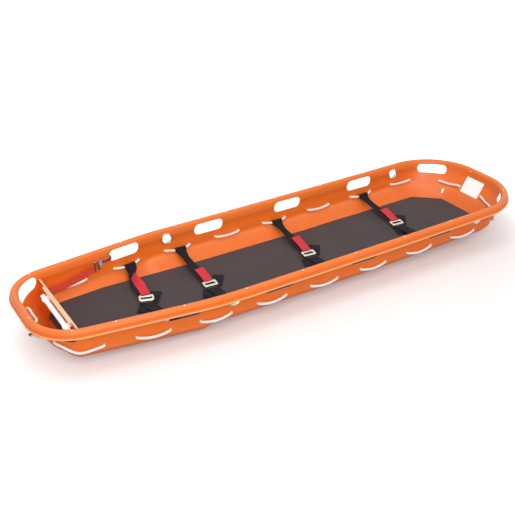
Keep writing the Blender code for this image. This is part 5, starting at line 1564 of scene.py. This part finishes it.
def make_camera():
    """Camera at the photograph's viewing angle."""
    yaw, pitch, roll = (math.radians(value) for value in (CAMERA_YAW, CAMERA_PITCH, CAMERA_ROLL))
    ahead = Vector((math.sin(yaw) * math.cos(pitch), math.cos(yaw) * math.cos(pitch),
                    -math.sin(pitch)))
    level = Vector((math.cos(yaw), -math.sin(yaw), 0.0))
    above = level.cross(ahead)
    right = level * math.cos(roll) + above * math.sin(roll)
    top = above * math.cos(roll) - level * math.sin(roll)
    data = bpy.data.cameras.new("camera")
    data.sensor_fit = "HORIZONTAL"
    data.sensor_width = SENSOR
    data.lens = SENSOR * FOCAL_PIXELS / IMAGE_PIXELS
    data.clip_end = 60.0
    made = placed("camera", data)
    made.matrix_world = placed_axes(CAMERA_PLACE, right, top, -ahead)
    bpy.context.scene.camera = made


def make_lamp(name, place, target, size, power):
    """Soft white square lamp that faces a target."""
    data = bpy.data.lights.new(name, "AREA")
    data.shape = "SQUARE"
    data.size = size
    data.energy = power
    made = placed(name, data)
    made.location = place
    made.rotation_euler = (Vector(target) - Vector(place)).to_track_quat("-Z", "Y").to_euler()


def ray_kinds(tree):
    """Shares of rays straight from the camera, and of those with the glossy ones."""
    seen = add_node(tree, "LightPath")
    camera = seen.outputs["Is Camera Ray"]
    return camera, maths(tree, "MAXIMUM", camera, seen.outputs["Is Glossy Ray"])


def make_studio():
    """Pale floor that glows away from the basket, pale surroundings and two soft lamps."""
    material, tree, shader = new_material("pale_floor", 0.9, Specular_IOR_Level=0.2)
    place = coordinates(tree, "Object")
    grain = add_node(tree, "TexNoise", {"Vector": place, "Scale": 3.0, "Detail": 2.0})
    tone = blend_colours(tree, grain.outputs["Fac"], (0.88, 0.855, 0.85), (0.90, 0.88, 0.875))
    camera, direct = ray_kinds(tree)
    feed(tree, shader.inputs["Base Color"], blend_colours(tree, camera, FLOOR_BOUNCE, tone))
    away = add_node(tree, "VectorMath", {0: place, 1: GLOW_SCALE}, operation="MULTIPLY")
    away = add_node(tree, "VectorMath", {0: away.outputs[0], 1: GLOW_SHIFT}, operation="ADD")
    reach = add_node(tree, "VectorMath", {0: away.outputs[0]}, operation="LENGTH")
    limits = {"From Min": GLOW_FROM, "From Max": GLOW_TO, "To Min": GLOW_LEAST}
    share = add_node(tree, "MapRange", {"Value": reach.outputs["Value"], **limits},
                     interpolation_type="SMOOTHSTEP")
    strength = maths(tree, "MULTIPLY", direct, share.outputs[0])
    glow = add_node(tree, "Emission", {"Color": (1.0, 1.0, 1.0, 1.0), "Strength": strength})
    both = add_node(tree, "AddShader", {0: shader.outputs[0], 1: glow.outputs[0]})
    feed(tree, tree.nodes["Material Output"].inputs["Surface"], both.outputs[0])
    mesh = bpy.data.meshes.new("studio_floor")
    corners = [(x * FLOOR_REACH, y * FLOOR_REACH, -FLOOR_DROP)
               for x, y in ((-1, -1), (1, -1), (1, 1), (-1, 1))]
    mesh.from_pydata(corners, [], [(0, 1, 2, 3)])
    mesh.materials.append(material)
    floor = placed("studio_floor", mesh)
    world = bpy.data.worlds.new("white_room")
    world.use_nodes = True
    tree = world.node_tree
    strength = maths(tree, "MULTIPLY_ADD", ray_kinds(tree)[1], 1.0 - ROOM_LIGHT, ROOM_LIGHT)
    feed(tree, tree.nodes["Background"].inputs["Color"], (1.0, 1.0, 1.0, 1.0))
    feed(tree, tree.nodes["Background"].inputs["Strength"], strength)
    bpy.context.scene.world = world
    for lamp in LAMPS:
        make_lamp(*lamp)


make_camera()
make_studio()
make_shell()
make_rivets()
make_rope()
make_eyelets()
make_mat()
make_foot_board()
make_foot_straps()
for strap_number, strap_run in enumerate(STRAP_RUNS):
    make_strap(strap_number, strap_run)
for node, key in (("rim_tube", "tube"), ("label_plate", "label")):
    frame["nodes"][node].data.materials.clear()
    frame["nodes"][node].data.materials.append(MATERIALS[key])

bpy.context.scene.view_settings.view_transform = "Standard"
